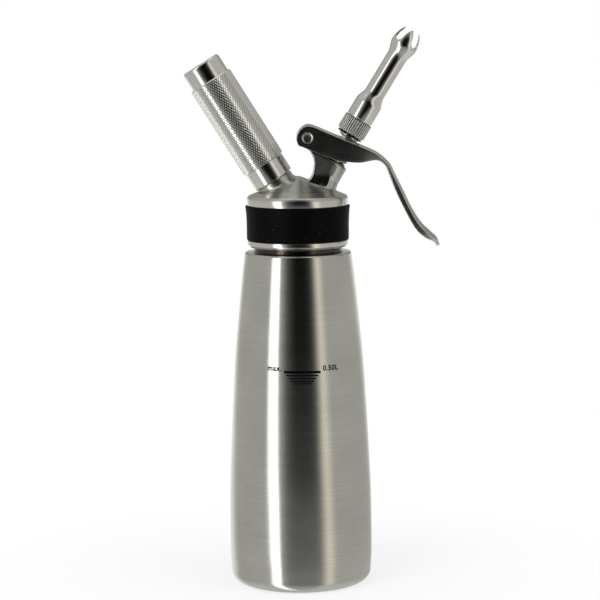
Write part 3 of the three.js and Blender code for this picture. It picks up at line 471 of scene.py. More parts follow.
def thread(low, high, pitch, root, tip):
    """A helical thread between two heights: root and tip are its radii."""
    def form(r, z, angle):
        if not (low <= z <= high) or abs(r - (root + tip) / 2) > abs(tip - root):
            return r
        phase = (z / pitch - angle / TURN) % 1
        crest = min(1, max(0, 1.6 - abs(phase - 0.5) * 4.4))
        fade = min(1, (z - low) / pitch, (high - z) / pitch)
        return root + (tip - root) * crest * max(0, fade)
    return form


# Bottle: its side as (share of the height to the shoulder, share of the bulge)
SIDE = [(0.0326, 0.937), (0.09, 0.994), (0.17, 1), (0.3, 0.963), (0.43, 0.859), (0.56, 0.733),
        (0.69, 0.58), (0.82, 0.356), (0.93, 0.143), (0.993, 0)]
SHOULDER = (29.45, 184.2)
SHOULDER_ROUND = 1.3
BULGE = 39.5 - SHOULDER[0]
BOTTLE_WALL = 0.9
FOOT_ROUND = 6.0
MOUTH = 207.0
NECK_PITCH = 2.9
side = [
    (SHOULDER[0] + BULGE * out, z)
    for z, out in spline([Vector((z * SHOULDER[1], out)) for z, out in SIDE], 72)
]


def bottle_radius(z):
    radii, heights = zip(*side)
    return float(np.interp(z, heights, radii))


foot = side[0][0]
bottle_outside = [
    (0, 0.5), (22, 0.5), (22.8, 0.15), (23.6, 0),
    *corner_arc(foot - FOOT_ROUND, FOOT_ROUND, FOOT_ROUND, -90, 0, 14),
    *side[1:-1],
    *corner_arc(SHOULDER[0] - SHOULDER_ROUND, SHOULDER[1] - SHOULDER_ROUND, SHOULDER_ROUND,
                0, 90, 8),
    (25.0, SHOULDER[1]), (24.45, SHOULDER[1] + 0.15), (24.2, SHOULDER[1] + 0.5),
    *run((24.2, 184.8), (24.2, 205.2), 110),
    (24.2, 205.2), (24.6, 205.5), (24.7, 205.9), (24.7, 206.5), (24.4, 206.9), (24.0, MOUTH),
]
bottle_inside = [
    (23.8, 206.9), (23.6, 206.6), (23.6, 184.6), (24.0, 183.6), (24.8, 183.3), (28.0, 183.3),
    (28.5, 182.8),
    *[(r - BOTTLE_WALL, z) for r, z in reversed(side[2:-2])],
    *reversed(corner_arc(foot - FOOT_ROUND, FOOT_ROUND + 0.7, FOOT_ROUND - BOTTLE_WALL,
                         -90, 0, 8)),
    (0, 1.6),
]
bottle_piece = finish_piece(
    "bottle_shell",
    lathe([*bottle_outside, *bottle_inside], 256, thread(186.0, 203.6, NECK_PITCH, 24.15, 24.7)),
    bottle_steel, "bottle", "bottle",
)
# Painted shade: the neck above the shoulder gets the dark steel
paint(bottle_piece, neck_painted_shade, lambda c, r: c.z > SHOULDER[1] + 0.05 and r > 24.0)


# Fill marks, printed on the front of the bottle: how far they stand out, go in and slope
MARK_LIFT = 0.03
MARK_SINK = -0.06
MARK_SLOPE = -0.012
# The lines as (left, right, height, thickness)
MARKS = [(-8.4, 11.7, 122.25, 1.3), (-7.3, 10.45, 120.4, 0.7), (-5.9, 9.1, 118.85, 0.65),
         (-4.9, 8.0, 117.35, 0.6), (-3.8, 6.8, 116.15, 0.5)]


def wrapped(x, z, lift):
    r = bottle_radius(z) + lift
    return (r * math.sin(x / r), -r * math.cos(x / r), z)


def printed_line(name, left, right, height, thickness):
    steps = max(6, int(right - left))
    low, high = -0.5 * thickness, 0.5 * thickness
    edges = ((MARK_LIFT, low), (MARK_LIFT, high), (MARK_SINK, high), (MARK_SINK, low))
    rings = []
    for k in range(steps + 1):
        x = left + (right - left) * k / steps
        rings.append([wrapped(x, height + rise + MARK_SLOPE * x, lift) for lift, rise in edges])
    finish_piece(name, tube(rings), mark_ink, "bottle")


def printed_words(name, words, left, right, low, high):
    curve = bpy.data.curves.new(name, "FONT")
    curve.body = words
    curve.extrude = 0.02
    curve.offset = 0.03
    curve.space_character = 1.08
    text = bpy.data.objects.new(name, curve)
    collection.objects.link(text)
    bpy.context.view_layer.update()
    evaluated = text.evaluated_get(bpy.context.evaluated_depsgraph_get())
    bm = bmesh.new()
    bm.from_mesh(evaluated.to_mesh())
    bpy.data.objects.remove(text)
    xs = [v.co.x for v in bm.verts]
    ys = [v.co.y for v in bm.verts]
    deep = max(v.co.z for v in bm.verts)
    bmesh.ops.remove_doubles(bm, verts=bm.verts, dist=1e-5)
    long_edges = [e for e in bm.edges if e.calc_length() > 0.25]
    bmesh.ops.subdivide_edges(bm, edges=long_edges, cuts=1)
    for v in bm.verts:
        x = left + (v.co.x - min(xs)) / (max(xs) - min(xs)) * (right - left)
        z = low + (v.co.y - min(ys)) / (max(ys) - min(ys)) * (high - low) + MARK_SLOPE * x
        v.co = wrapped(x, z, MARK_LIFT if v.co.z > 0.5 * deep else MARK_SINK)
    finish_piece(name, bm, mark_ink, "bottle")


for number, line in enumerate(MARKS):
    printed_line(f"fill_line_{number + 1}", *line)
printed_words("fill_words_left", "max.", -17.9, -9.7, 122.55, 124.75)
printed_words("fill_words_right", "0.50L", 12.9, 22.4, 122.75, 125.75)


# Head: the turned shell, whose dome is a cone between the band's rounded edge and a round tip
SLOPE_DEGREES = 22.5
SLOPE = math.radians(SLOPE_DEGREES)
BAND_TOP = 213.1
BAND_RADIUS = 27.8
BAND_ROUND = 2.4
DOME_ROUND = 7.3
DOME_WALL = 3.4
SKIRT_BORE = 25.1
LEDGE = 209.2


def dome_height(radius):
    drop = BAND_ROUND * (math.cos(SLOPE) - (1 - math.sin(SLOPE)) * math.tan(SLOPE))
    return BAND_TOP + drop + (BAND_RADIUS - radius) * math.tan(SLOPE)


tip_centre = dome_height(0) - DOME_ROUND / math.cos(SLOPE)


def dome_tip(steps, lift=0.0):
    arc = corner_arc(0, tip_centre + lift, DOME_ROUND, 90 - SLOPE_DEGREES, 90, steps)
    return [*arc[:-1], (0, tip_centre + lift + DOME_ROUND)]


band_edge = corner_arc(BAND_RADIUS - BAND_ROUND, BAND_TOP, BAND_ROUND, 0, 90 - SLOPE_DEGREES, 10)
shell_outside = [
    *rounded([(SKIRT_BORE, 190, 0), (SKIRT_BORE, 187, 0.2), (26.4, 187, 0.3), (27.8, 188.4, 0.35),
              (27.8, 190.7, 0.3), (26.6, 190.7, 0), (26.6, 209.8, 0), (27.8, 209.8, 0.3),
              (27.8, 213.1, 0)], 4)[1:-1],
    *band_edge,
    *run(band_edge[-1], dome_tip(5)[0], 12),
    *dome_tip(5),
]
shell_inside = [
    (0, dome_height(0) - DOME_WALL), (20.5, dome_height(20.5) - DOME_WALL), (20.5, LEDGE),
    (SKIRT_BORE, LEDGE),
    *run((SKIRT_BORE, 207.5), (SKIRT_BORE, 187.2), 100),
]
skirt_form = thread(189.0, 205.6, NECK_PITCH, SKIRT_BORE, 24.75)


def skirt_thread(r, z, angle):
    return skirt_form(r, z, angle) if abs(r - SKIRT_BORE) < 0.01 else r


def charger_bores():
    profile = [(0, 12), (3.95, 12), (3.95, 27), (5.3, 27), (5.3, 40), (0, 40)]
    return helper("charger_bores", lathe(profile, 64), CHARGER_AXIS)


def valve_bores():
    profile = [(0, 12), (4.1, 12), (4.1, 19.5), (4.8, 19.5), (4.8, 34.1), (7.4, 34.1), (7.4, 42),
               (0, 42)]
    return helper("valve_bores", lathe(profile, 64), VALVE_AXIS)


head_shell = finish_piece(
    "head_shell", lathe([*shell_outside, *shell_inside], 224, skirt_thread), head_steel,
)
boolean(head_shell, charger_bores())
boolean(head_shell, valve_bores())
reshade(head_shell, 28)
paint(head_shell, band_steel, lambda c, r: r > 26.45 and (c.z < 191 or 209.7 < c.z < 213.3))
dress(head_shell, "head", "head")


# Head: boss and threaded nipple on the charging side
NIPPLE_RADIUS = 9.4
boss_profile = [
    *rounded([(0, 15), (12.3, 15), (12.3, 17.3), (12.05, 18.6), (11.45, 20), (10.75, 20.9),
              (10.5, 21.6), (10.5, 24.2, 0.25), (NIPPLE_RADIUS, 24.2, 0)], 4),
    *run((NIPPLE_RADIUS, 24.2), (NIPPLE_RADIUS, 35.0), 70),
    (9.1, 35.6), (8.6, 36), (5.5, 36), (5.3, 35.8), (5.3, 27), (0, 27),
]
finish_piece(
    "charger_boss", lathe(boss_profile, 128, thread(25.2, 35.0, 1.6, 9.05, NIPPLE_RADIUS)),
    head_steel, "head", axis=CHARGER_AXIS,
)


# The lever's pin: X and Z of its centre, and what turns a mesh from Z into the pin's direction
PIVOT = (5.7996, 246.9003)
INTO_PIN = (Matrix.Translation((PIVOT[0], 0, PIVOT[1]))
            @ Matrix.Rotation(math.radians(90), 4, "X"))
PIN_HOLE = 2.6


def pin_hole(half_length):
    bm = bmesh.new()
    bmesh.ops.create_cone(bm, cap_ends=True, segments=64, radius1=PIN_HOLE, radius2=PIN_HOLE,
                          depth=2 * half_length, matrix=INTO_PIN)
    return helper("pin_hole", bm)


# Head: saddle, lug and valve boss, cast in one with the dome
LUG_HALF = 8.3
VALVE_BOSS_RADIUS = 8.3
SADDLE_RISE = 32.0
WAIST = 227
WEB_LEVELS = range(213, 240)
SKIN_LIFT = 0.06
SKIN_DEPTH = 1.8
VOXEL = 0.42
SADDLE_EDGE = [(0.022, -0.219), (0.092, -0.341), (0.105, -0.4625), (0.082, -0.603),
               (0.031, -0.7094), (-0.05, -0.794), (-0.11, -0.9)]
saddle_edge = [
    (PIVOT[0] + x * SADDLE_RISE, PIVOT[1] + z * SADDLE_RISE)
    for x, z in spline([Vector(point) for point in SADDLE_EDGE], 24)
]
saddle_outline = [
    *corner_arc(*PIVOT, 4.2, -38, 222, 30),
    *saddle_edge,
    (PIVOT[0] + 14, PIVOT[1] - SADDLE_RISE),
    *[valve_point(*place) for place in ((3.6, 21.0), (3.7, 26.0), (3.2, 29.0), (0.5, 33.5),
                                        (0, 38.1), (-7.9, 38.3))],
]


def web_half(z):
    """Half the web's thickness: slimmest at its waist, and flared towards the dome."""
    rise = 7.5 + 0.072 * (z - WAIST)
    return min(LUG_HALF, rise) if z > WAIST else rise + (WAIST - z) ** 2 / 40


def web_body():
    """The web at full thickness, cut into levels so that it can be made slimmer later."""
    bm = extruded(saddle_outline, LUG_HALF)
    for z in WEB_LEVELS:
        everything = [*bm.verts, *bm.edges, *bm.faces]
        bmesh.ops.bisect_plane(bm, geom=everything, dist=0.001, plane_co=(0, 0, z),
                               plane_no=(0, 0, 1))
    return bm


def flared_outwards(r, z, angle):
    """The boss's foot spreads on the side away from the web."""
    spread = max(0, r - VALVE_BOSS_RADIUS) * max(0, math.cos(angle)) ** 0.7
    return min(r, VALVE_BOSS_RADIUS) + spread


head_cast = finish_piece("head_cast", web_body(), cast)
valve_boss = helper("valve_boss", lathe(
    rounded([(0, 19.5), (10.8, 19.5), (10.8, 22.0, 3), (9.3, 24.8, 3), (8.5, 29.0, 3),
             (VALVE_BOSS_RADIUS, 37.9, 0.5), (7.8, 38.3, 0.2), (0, 38.3)], 5), 96,
    flared_outwards), VALVE_AXIS)
ahead_of_saddle = [PIVOT, *saddle_edge, (100, PIVOT[1] - SADDLE_RISE), (100, PIVOT[1])]
boolean(valve_boss, helper("boss_room", extruded(ahead_of_saddle, 30)), "INTERSECT")
boolean(head_cast, valve_boss, "UNION")
for vertex in head_cast.data.vertices:
    vertex.co.y *= web_half(vertex.co.z / MM) / LUG_HALF

# A skin of the dome joins the web and the charging boss to it with fillets
skin_top = dome_tip(4, SKIN_LIFT)
skin_edge = (22.0, dome_height(22.0) + SKIN_LIFT)
boolean(head_cast, helper("dome_skin", lathe([
    (0, 213.5), (23.0, 213.5), (23.6, dome_height(23.6) - 0.5), skin_edge,
    *run(skin_edge, skin_top[0], 8), *skin_top], 128)), "UNION")
boolean(head_cast, helper("inner_boss", lathe(
    [(0, 10), (10.6, 10), (10.6, 16), (12.2, 16), (12.2, 17.2), (11.9, 18.4), (0, 18.4)], 96),
    CHARGER_AXIS), "UNION")
remesh = head_cast.modifiers.new("remesh", "REMESH")
remesh.mode = "VOXEL"
remesh.voxel_size = VOXEL * MM
bake_modifiers(head_cast)
smooth = head_cast.modifiers.new("smooth", "SMOOTH")
smooth.factor = 0.5
smooth.iterations = 6
bake_modifiers(head_cast)
for tool in (charger_bores(), valve_bores(), pin_hole(12)):
    boolean(head_cast, tool)
boolean(head_cast, helper("under_skin", lathe([
    (0, 190), (30, 190), (30, dome_height(30) - SKIN_DEPTH), (0, dome_height(0) - SKIN_DEPTH),
], 96)))
reshade(head_cast, 50)
paint(head_cast, web_steel, lambda c, r: c.x > 2 and c.z > dome_height(r) + 0.7)
dress(head_cast, "head")


# Soft ring round the head, and the seal over the bottle's mouth
ring_profile = rounded([
    (26.75, 190.85, 0.2), (27.95, 190.85, 0.45), (28.1, 191.8, 0.8), (28.1, 200.0, 4),
    (28.35, 205.5, 3), (28.75, 209.1, 0.3), (28.5, 209.65, 0.3), (26.75, 209.65, 0.2)], 5)
finish_piece("soft_ring", lathe(ring_profile, 224), black_rubber, "head",
             "grip_ring")
gasket_profile = rounded([(20.8, 207.3, 0.25), (24.7, 207.3, 0.25), (24.7, 208.9, 0.25),
                          (20.8, 208.9, 0.25)], 4)
finish_piece("mouth_seal", lathe(gasket_profile, 160), seal_rubber, "gasket",
             "head_gasket")


# Charger holder with its diamond knurl, and the charger in it
KNURL_STARTS = 58
KNURL_FINE = 6
KNURL_RADIUS = 12.35
KNURL_LOW, KNURL_HIGH = 35.4, 88.3
KNURL_SPAN = KNURL_HIGH - KNURL_LOW
KNURL_ANGLE = math.radians(29)
KNURL_STEP = TURN * KNURL_RADIUS / KNURL_STARTS / KNURL_FINE / 2 / math.tan(KNURL_ANGLE)
KNURL_ROWS = round(KNURL_SPAN / KNURL_STEP)
KNURL_DEPTH = 0.17
KNURL_END_RADIUS = 11.75


def knurled(r, z, angle):
    """Two crossing families of V grooves, whose edges and bottoms run along the mesh's edges."""
    if abs(r - KNURL_RADIUS) > 0.01:
        return r
    step = angle / TURN * KNURL_STARTS * KNURL_FINE
    row = (z - KNURL_LOW) / KNURL_SPAN * KNURL_ROWS
    families = (round(step + row / 2) % KNURL_FINE, round(step - row / 2) % KNURL_FINE)
    return r - KNURL_DEPTH if 0 in families else r


holder_profile = [
    *rounded([(9.8, 24.5, 0.2), (10.95, 24.5, 0.3), (11.45, 25.0, 0.4), (11.45, 34.8, 0)], 4),
    (KNURL_END_RADIUS, 34.8),
    *[(KNURL_RADIUS, KNURL_LOW + KNURL_SPAN * k / KNURL_ROWS, k % 2 / 2)
      for k in range(KNURL_ROWS + 1)],
    (KNURL_END_RADIUS, 88.9),
    *rounded([(11.15, 88.9, 0), (11.15, 99.3, 1.5), (0, 99.3, 0)], 7),
    (0, 95.8), (9.8, 95.8),
]
holder_piece = finish_piece(
    "charger_cap", lathe(holder_profile, KNURL_STARTS * KNURL_FINE, knurled),
    holder_steel, "holder", "charger_holder", axis=CHARGER_AXIS, crisp=22,
)
knurl_faces = paint(holder_piece, knurl_steel, lambda c, r: 35.0 < c.z < 88.7 and r > 11.6,
                    CHARGER_AXIS)
for polygon in knurl_faces:
    polygon.use_smooth = False

charger_profile = [
    *rounded([(0, 30), (4.4, 30, 0.5), (4.4, 41, 1.2), (6.4, 44, 3), (9.3, 50, 4),
              (9.3, 86.2, 0)], 6),
    *corner_arc(0, 86.2, 9.3, 0, 90, 14)[1:-1],
    (0, 95.5),
]
finish_piece("cartridge", lathe(charger_profile, 96), nozzle_steel, "charger",
             "gas_charger", axis=CHARGER_AXIS)


# Nozzle side: adapter, seal and ribbed collar
ADAPTER_RADIUS = 4.9
COLLAR_RIBS = 38
COLLAR_ROOT = 7.5
RIB_HEIGHT = 0.55

adapter_profile = [
    *rounded([(3.65, 53.0, 0.1), (4.3, 53.0, 0.1), (5.9, 53.9, 0.1), (5.9, 54.4, 0.12),
              (ADAPTER_RADIUS, 54.4, 0)], 3),
    *run((ADAPTER_RADIUS, 54.4), (ADAPTER_RADIUS, 60.3), 48),
    (4.8, 60.5), (3.65, 60.5),
]
finish_piece("adapter", lathe(adapter_profile, 96, thread(55.0, 60.4, 1.1, 4.62, ADAPTER_RADIUS)),
             nozzle_steel, "valve", "nozzle_adapter", axis=VALVE_AXIS)
seal_profile = rounded([(5.05, 54.6, 0.2), (7.2, 54.6, 0.3), (7.2, 55.4, 0.3),
                        (5.05, 55.4, 0.2)], 4)
finish_piece("collar_seal", lathe(seal_profile, 96), seal_rubber, "nozzle_washer",
             "nozzle_seal", axis=VALVE_AXIS)


def ribs(r, z, angle):
    if r < 6.6:
        return r
    phase = (angle / TURN * COLLAR_RIBS) % 1
    return min(r, COLLAR_ROOT + RIB_HEIGHT * math.sqrt(1 - abs(2 * phase - 1) ** 2.2))


collar_profile = rounded([(5.3, 55.7, 0.15), (7.15, 55.7, 0.15), (8.05, 56.6, 0.1),
                          (8.05, 64.35, 0.1), (7.6, 64.8, 0.1), (6.55, 64.8, 0.1),
                          (6.55, 62.2, 0), (5.3, 62.2, 0)], 3)
collar_piece = finish_piece(
    "knurled_collar", lathe(collar_profile, COLLAR_RIBS * 12, ribs), collar_steel,
    "nozzle", "nozzle_collar", axis=VALVE_AXIS, crisp=24,
)
# Painted shade: the faces deep in the grooves between the ribs get the dark steel
paint(collar_piece, groove_painted_shade, lambda c, r: 56.4 < c.z < 64.6 and 7.3 < r < 7.92, VALVE_AXIS)


# Nozzle: a shaft between a wider foot and the tulip, which two crossing slots part into tines
FOOT_RADIUS = 7.5
FOOT_TOP = 74.6
SHAFT_RADIUS = 5.65
SHAFT_LOW, TULIP_LOW = 81.4, 105.1
TULIP_LENGTH = 16.2
TULIP_TOP = TULIP_LOW + TULIP_LENGTH
TULIP_SWELL = 1.8
TULIP_STEPS = 44
NOZZLE_BORE = 4.4
SLOT_DEPTH = 8.7
SLOT_ROUND = 2.9
# The tulip's side as (share of its length, share of its swell)
TULIP = [(0, 0), (0.09, 0.18), (0.22, 0.586), (0.35, 0.938), (0.45, 1), (0.6, 0.834),
         (0.74, 0.503), (0.88, -0.076), (1, -0.78)]
tulip = [
    (SHAFT_RADIUS + out * TULIP_SWELL, TULIP_LOW + z * TULIP_LENGTH)
    for z, out in spline([Vector(point) for point in TULIP], TULIP_STEPS)
]


def tulip_bore(number, r):
    """The inner radius: the wall thins from 1.3 mm to 0.8 mm at the tines' tips."""
    share = number / TULIP_STEPS
    return max(r - 1.3 + 0.5 * share, NOZZLE_BORE if share < 0.09 else 0.3)


def foot_shoulder(steps):
    """The smooth step from the foot to the shaft."""
    made = []
    for k in range(steps + 1):
        share = k / steps
        eased = 3 * share**2 - 2 * share**3
        made.append((FOOT_RADIUS - (FOOT_RADIUS - SHAFT_RADIUS) * eased,
                     FOOT_TOP + (SHAFT_LOW - FOOT_TOP) * share))
    return made


nozzle_profile = [
    (5.5, 62.5), (6.4, 62.5), (6.4, 65.1),
    *rounded([(6.4, 65.1, 0), (FOOT_RADIUS, 65.1, 0.4), (FOOT_RADIUS, FOOT_TOP, 0)], 4)[1:-1],
    *foot_shoulder(12),
    *run((SHAFT_RADIUS, SHAFT_LOW), (SHAFT_RADIUS, TULIP_LOW), 8),
    *tulip,
    *reversed([(tulip_bore(number, r), z) for number, (r, z) in enumerate(tulip)]),
    (NOZZLE_BORE, 80.5), (5.5, 76.5),
]


def tine_slot(turn):
    bottom = TULIP_TOP - SLOT_DEPTH + SLOT_ROUND
    outline = [*corner_arc(0, bottom, SLOT_ROUND, 180, 360, 20),
               (3, TULIP_TOP + 1), (-3, TULIP_TOP + 1)]
    bm = extruded(outline, 9)
    bmesh.ops.rotate(bm, verts=bm.verts, cent=(0, 0, 0),
                     matrix=Matrix.Rotation(math.radians(turn), 3, "Z"))
    return helper("tine_slot", bm, VALVE_AXIS)


nozzle = finish_piece("tulip_nozzle", lathe(nozzle_profile, 192), nozzle_steel, axis=VALVE_AXIS)
for turn in (45, 135):
    boolean(nozzle, tine_slot(turn))
edge = nozzle.modifiers.new("edge", "BEVEL")
edge.width = 0.14 * MM
edge.segments = 2
edge.limit_method = "ANGLE"
edge.angle_limit = math.radians(40)
bake_modifiers(nozzle)
reshade(nozzle, 35)
dress(nozzle, "nozzle", "nozzle")


# Lever: a pressed channel, lofted along its top from the pin to the tip
LEVER_HALF = 10.0
LEAN = math.tan(math.radians(5))
SHEET = 1.2
CORNER = 0.6
INNER_CORNER = 0.2
LIP = 0.3
LIP_POINTS = 5
WALL_STEPS = 5
WEB_STEPS = 10
CROWN = 2.2
REACH = 45.0
SLOT_RADIUS = 4.0
SLOT_SHIFT = 1.8
SLOT_ALONG = 52.4
# Each row has the top's place, the place of the walls' lower edge, and the shares of the full
# width and crown. The body's unit is the way from the pin to the slot, and the handle's is REACH
BODY_ROWS = [
    (-.212, -.215, -.157, -.221, 1, .04), (-.276, -.081, -.105, -.241, 1, .04),
    (-.271, .062, -.039, -.264, 1, .04), (-.192, .214, .036, -.292, 1, .1),
    (-.038, .324, .13, -.328, 1, .25), (.147, .303, .276, -.379, 1, .25),
    (.448, .197, .487, -.449, 1, .25), (.843, .056, .768, -.533, 1, .25),
    (1.13, -.042, 1.046, -.558, 1, .25), (1.412, -.14, 1.345, -.558, .99, .3)]
HANDLE_ROWS = [
    (.114, -.042, .066, -.181, .97, .35), (.194, -.082, .155, -.164, .94, .4),
    (.273, -.139, .223, -.182, .89, .45), (.349, -.217, .286, -.241, .85, .5),
    (.417, -.338, .342, -.36, .82, .55), (.524, -.527, .429, -.546, .82, .6),
    (.641, -.734, .547, -.761, .85, .65), (.758, -.896, .678, -.967, .89, .75),
    (.878, -1.002, .802, -1.071, .88, .8), (.958, -1.071, .914, -1.118, .7, .5),
    (1, -1.153, .977, -1.165, .36, .15)]


def lever_rows():
    pin = Vector(PIVOT)
    to_slot = Vector(valve_point(0, SLOT_ALONG)) - pin
    turn = Matrix.Rotation(math.atan2(to_slot.y, to_slot.x), 2)
    made = []
    origin = Vector((0, 0))
    for rows, scale in ((BODY_ROWS, to_slot.length), (HANDLE_ROWS, REACH)):
        local = [(Vector(row[:2]) * scale + origin, Vector(row[2:4]) * scale + origin, *row[4:])
                 for row in rows]
        made += [(*(turn @ top + pin), *(turn @ low + pin), *shares)
                 for top, low, *shares in local]
        origin = local[-1][0]
    return np.array(made)


def lever_section(half_width, crown, depth, lean):
    """The sheet's section as (across, drop): its outer face from edge to edge, then back inside.

    The walls lean in by the given share of their depth.
    """
    def face(sheet, radius):
        wall_at = half_width - sheet
        flat = wall_at - radius
        wall_top = crown + sheet + radius
        edge = depth - LIP
        wall = [(wall_at, edge - (edge - wall_top) * k / WALL_STEPS)
                for k in range(WALL_STEPS)]
        corner = corner_arc(flat, wall_top, radius, 0, -90, 7)
        inwards = [1 - k / WEB_STEPS for k in range(1, WEB_STEPS + 1)]
        web = [(flat * share, crown * share ** 2 + sheet) for share in inwards]
        half = [*wall, *corner, *web]
        return [*half, *[(-y, drop) for y, drop in reversed(half[:-1])]]

    def lip(side):
        middle = half_width - SHEET / 2
        angles = np.radians(np.linspace(0, 180, LIP_POINTS + 2))[1:-1]
        return [(side * (middle + SHEET / 2 * math.cos(a)), depth - LIP + LIP * math.sin(a))
                for a in angles]

    outer, inner = face(0, CORNER), face(SHEET, INNER_CORNER)
    section = [*outer, *lip(-1), *reversed(inner), *reversed(lip(1))]
    wall_top = crown + CORNER
    return [(y - math.copysign(lean * max(0, drop - wall_top), y), drop) for y, drop in section]


def lever_mesh(stations):
    sections = []
    for number, row in enumerate(spline(lever_rows(), stations)):
        top, low = Vector(row[:2]), Vector(row[2:4])
        width, crown = row[4] * LEVER_HALF, row[5] * CROWN
        depth = max((top - low).length, crown + SHEET + INNER_CORNER + 0.35)
        lean = LEAN * float(np.interp(number / stations, (0.4, 0.52), (0, 1)))
        down = (low - top).normalized()
        sections.append([(top.x + down.x * drop, y, top.y + down.y * drop)
                         for y, drop in lever_section(width, crown, depth, lean)])
    bm = tube(sections, capped=False)
    bm.verts.ensure_lookup_table()
    count = len(sections[0])
    half = count // 2 - LIP_POINTS
    for end in (bm.verts[:count], bm.verts[-count:]):
        outer, lip_far = end[:half], end[half:half + LIP_POINTS]
        inner, lip_near = end[half + LIP_POINTS:-LIP_POINTS][::-1], end[-LIP_POINTS:]
        for k in range(half - 1):
            bm.faces.new((outer[k], outer[k + 1], inner[k + 1], inner[k]))
        bm.faces.new((*lip_far, inner[-1], outer[-1]))
        bm.faces.new((*lip_near, outer[0], inner[0]))
    return bm


def web_slot():
    """The long hole through which the adapter reaches the nozzle."""
    outline = [
        point for centre, start in ((SLOT_SHIFT, -90), (-SLOT_SHIFT, 90))
        for point in corner_arc(centre, 0, SLOT_RADIUS, start, start + 180, 16)
    ]
    return helper("web_slot", tube([[(x, y, z) for x, y in outline] for z in (48, 68)]),
                  VALVE_AXIS)


lever = finish_piece("pressed_lever", lever_mesh(160), lever_steel)
boolean(lever, pin_hole(14))
boolean(lever, web_slot())
reshade(lever, 35)
weighted = lever.modifiers.new("weighted", "WEIGHTED_NORMAL")
weighted.keep_sharp = True
bake_modifiers(lever)
dress(lever, "lever", "lever")


# Pin and clip
PIN_FRONT = 10.1
CLIP_START = -10.1
CLIP_SECTION = [(2.1, -0.9), (2.2, -1.0), (3.9, -1.0), (4.0, -0.9), (4.0, -0.3), (3.9, -0.2),
                (2.2, -0.2), (2.1, -0.3)]


def along_pin(bm):
    bmesh.ops.transform(bm, verts=bm.verts, matrix=INTO_PIN)
    return bm


def clip_mesh(steps):
    rings = []
    for a in np.radians(np.linspace(35, 325, steps + 1)):
        rings.append([(r * math.cos(a), r * math.sin(a), CLIP_START + 0.1 + z)
                      for r, z in CLIP_SECTION])
    return tube(rings)


pin_profile = rounded([
    (0, -12.7), (2.3, -12.7, 0.2), (2.5, -12.4, 0.1), (2.5, -11.1, 0), (2.0, -11.1, 0),
    (2.0, -10.05, 0), (2.5, -10.05, 0), (2.5, PIN_FRONT, 0), (3.15, PIN_FRONT, 0.05),
    (3.15, PIN_FRONT + 0.6, 0.12), (2.75, PIN_FRONT + 0.6, 0.08), (2.3, PIN_FRONT + 0.42, 0.3),
    (1.2, PIN_FRONT + 0.3, 0.8), (0, PIN_FRONT + 0.28, 0)], 4)
finish_piece("pin", along_pin(lathe(pin_profile, 64)), pin_steel, "head",
             "lever_pin")
finish_piece("spring_clip", along_pin(clip_mesh(48)), pin_steel, "head",
             "pin_clip")


# Valve spring: a coil of round wire from its seat up to its top
WIRE_RADIUS = 0.65
COIL_RADIUS = 6.0
COIL_TURNS = 5
COIL_STEPS = 280
SPRING_SEAT, SPRING_TOP = 35.9, 47.8


def coil_mesh():
    low = SPRING_SEAT + WIRE_RADIUS
    rise = SPRING_TOP - WIRE_RADIUS - low
    rings = []
    for k in range(COIL_STEPS + 1):
        share = k / COIL_STEPS
        angle = TURN * COIL_TURNS * share
        out = Vector((math.cos(angle), math.sin(angle), 0))
        point = COIL_RADIUS * out + Vector((0, 0, low + rise * share))
        along = Vector((-COIL_RADIUS * out.y, COIL_RADIUS * out.x, rise / (TURN * COIL_TURNS)))
        beside = along.cross(out).normalized()
        rings.append([point + WIRE_RADIUS * (out * math.cos(a) + beside * math.sin(a))
                      for a in np.linspace(0, TURN, 13)[:-1]])
    return tube(rings)


spring = finish_piece("coil_spring", coil_mesh(), spring_steel, "head",
                      "valve_spring", axis=VALVE_AXIS)
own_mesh(spring)

# CAD nodes that stay
for name, material in (
    ("charging_valve_body", holder_steel), ("check_valve_sleeve", seal_rubber),
    ("piercing_pin", holder_steel), ("charger_seal", seal_rubber), ("valve_seal", seal_rubber),
    ("valve_stem", nozzle_steel), ("stem_ring", seal_rubber), ("stem_guide", nozzle_steel),
    ("spring_cap", nozzle_steel),
):
    node = nodes[name]
    if not node.data.materials:
        node.data.materials.append(material)
    for slot in node.material_slots:
        slot.material = material


# World and floor: white for the camera and for reflections, plain for the light on the object
WHITE = (1, 1, 1, 1)


def seen(tree):
    """One for rays from the camera and for reflected and refracted rays."""
    path = add(tree, "LightPath").outputs
    either = maths(tree, "MAXIMUM", path["Is Camera Ray"], path["Is Glossy Ray"])
    return maths(tree, "MAXIMUM", either, path["Is Transmission Ray"])


def mixed_surface(tree, share, plain, other):
    return add(tree, "MixShader", {0: share, 1: plain, 2: other}).outputs[0]


def floor_material():
    made, tree, shader = new_material("floor_white")
    place = object_place(tree)
    reach = add(tree, "VectorMath", {0: place}, operation="LENGTH").outputs["Value"]
    clouds = noise(tree, place, 3, 2)
    feed(tree, shader, {"Base Color": ramp(tree, clouds, [(0.3, 0.9), (0.7, 0.92)]),
                        "Roughness": 0.9, "Specular IOR Level": 0.1})
    glow = add(tree, "Emission", {"Color": WHITE, "Strength": 1.0})
    far = mapped(tree, reach, 0.04, 0.22, 0.75, 1.0, "SMOOTHSTEP")
    share = maths(tree, "MULTIPLY", far, seen(tree))
    show(tree, mixed_surface(tree, share, shader.outputs[0], glow.outputs[0]))
    return made


def stage_piece(name, bm, material):
    piece = new_piece(name, bm, material)
    return piece


world = bpy.data.worlds.new("studio")
bpy.context.scene.world = world
world.use_nodes = True
tree = world.node_tree
tree.nodes.clear()
plain = add(tree, "Background", {"Color": WHITE, "Strength": 0.62})
white = add(tree, "Background", {"Color": WHITE, "Strength": 1.0})
sky = mixed_surface(tree, seen(tree), plain.outputs[0], white.outputs[0])
add(tree, "OutputWorld", {"Surface": sky})

bm = bmesh.new()
bmesh.ops.create_grid(bm, x_segments=4, y_segments=4, size=40)
stage_piece("floor", bm, floor_material()).visible_glossy = False


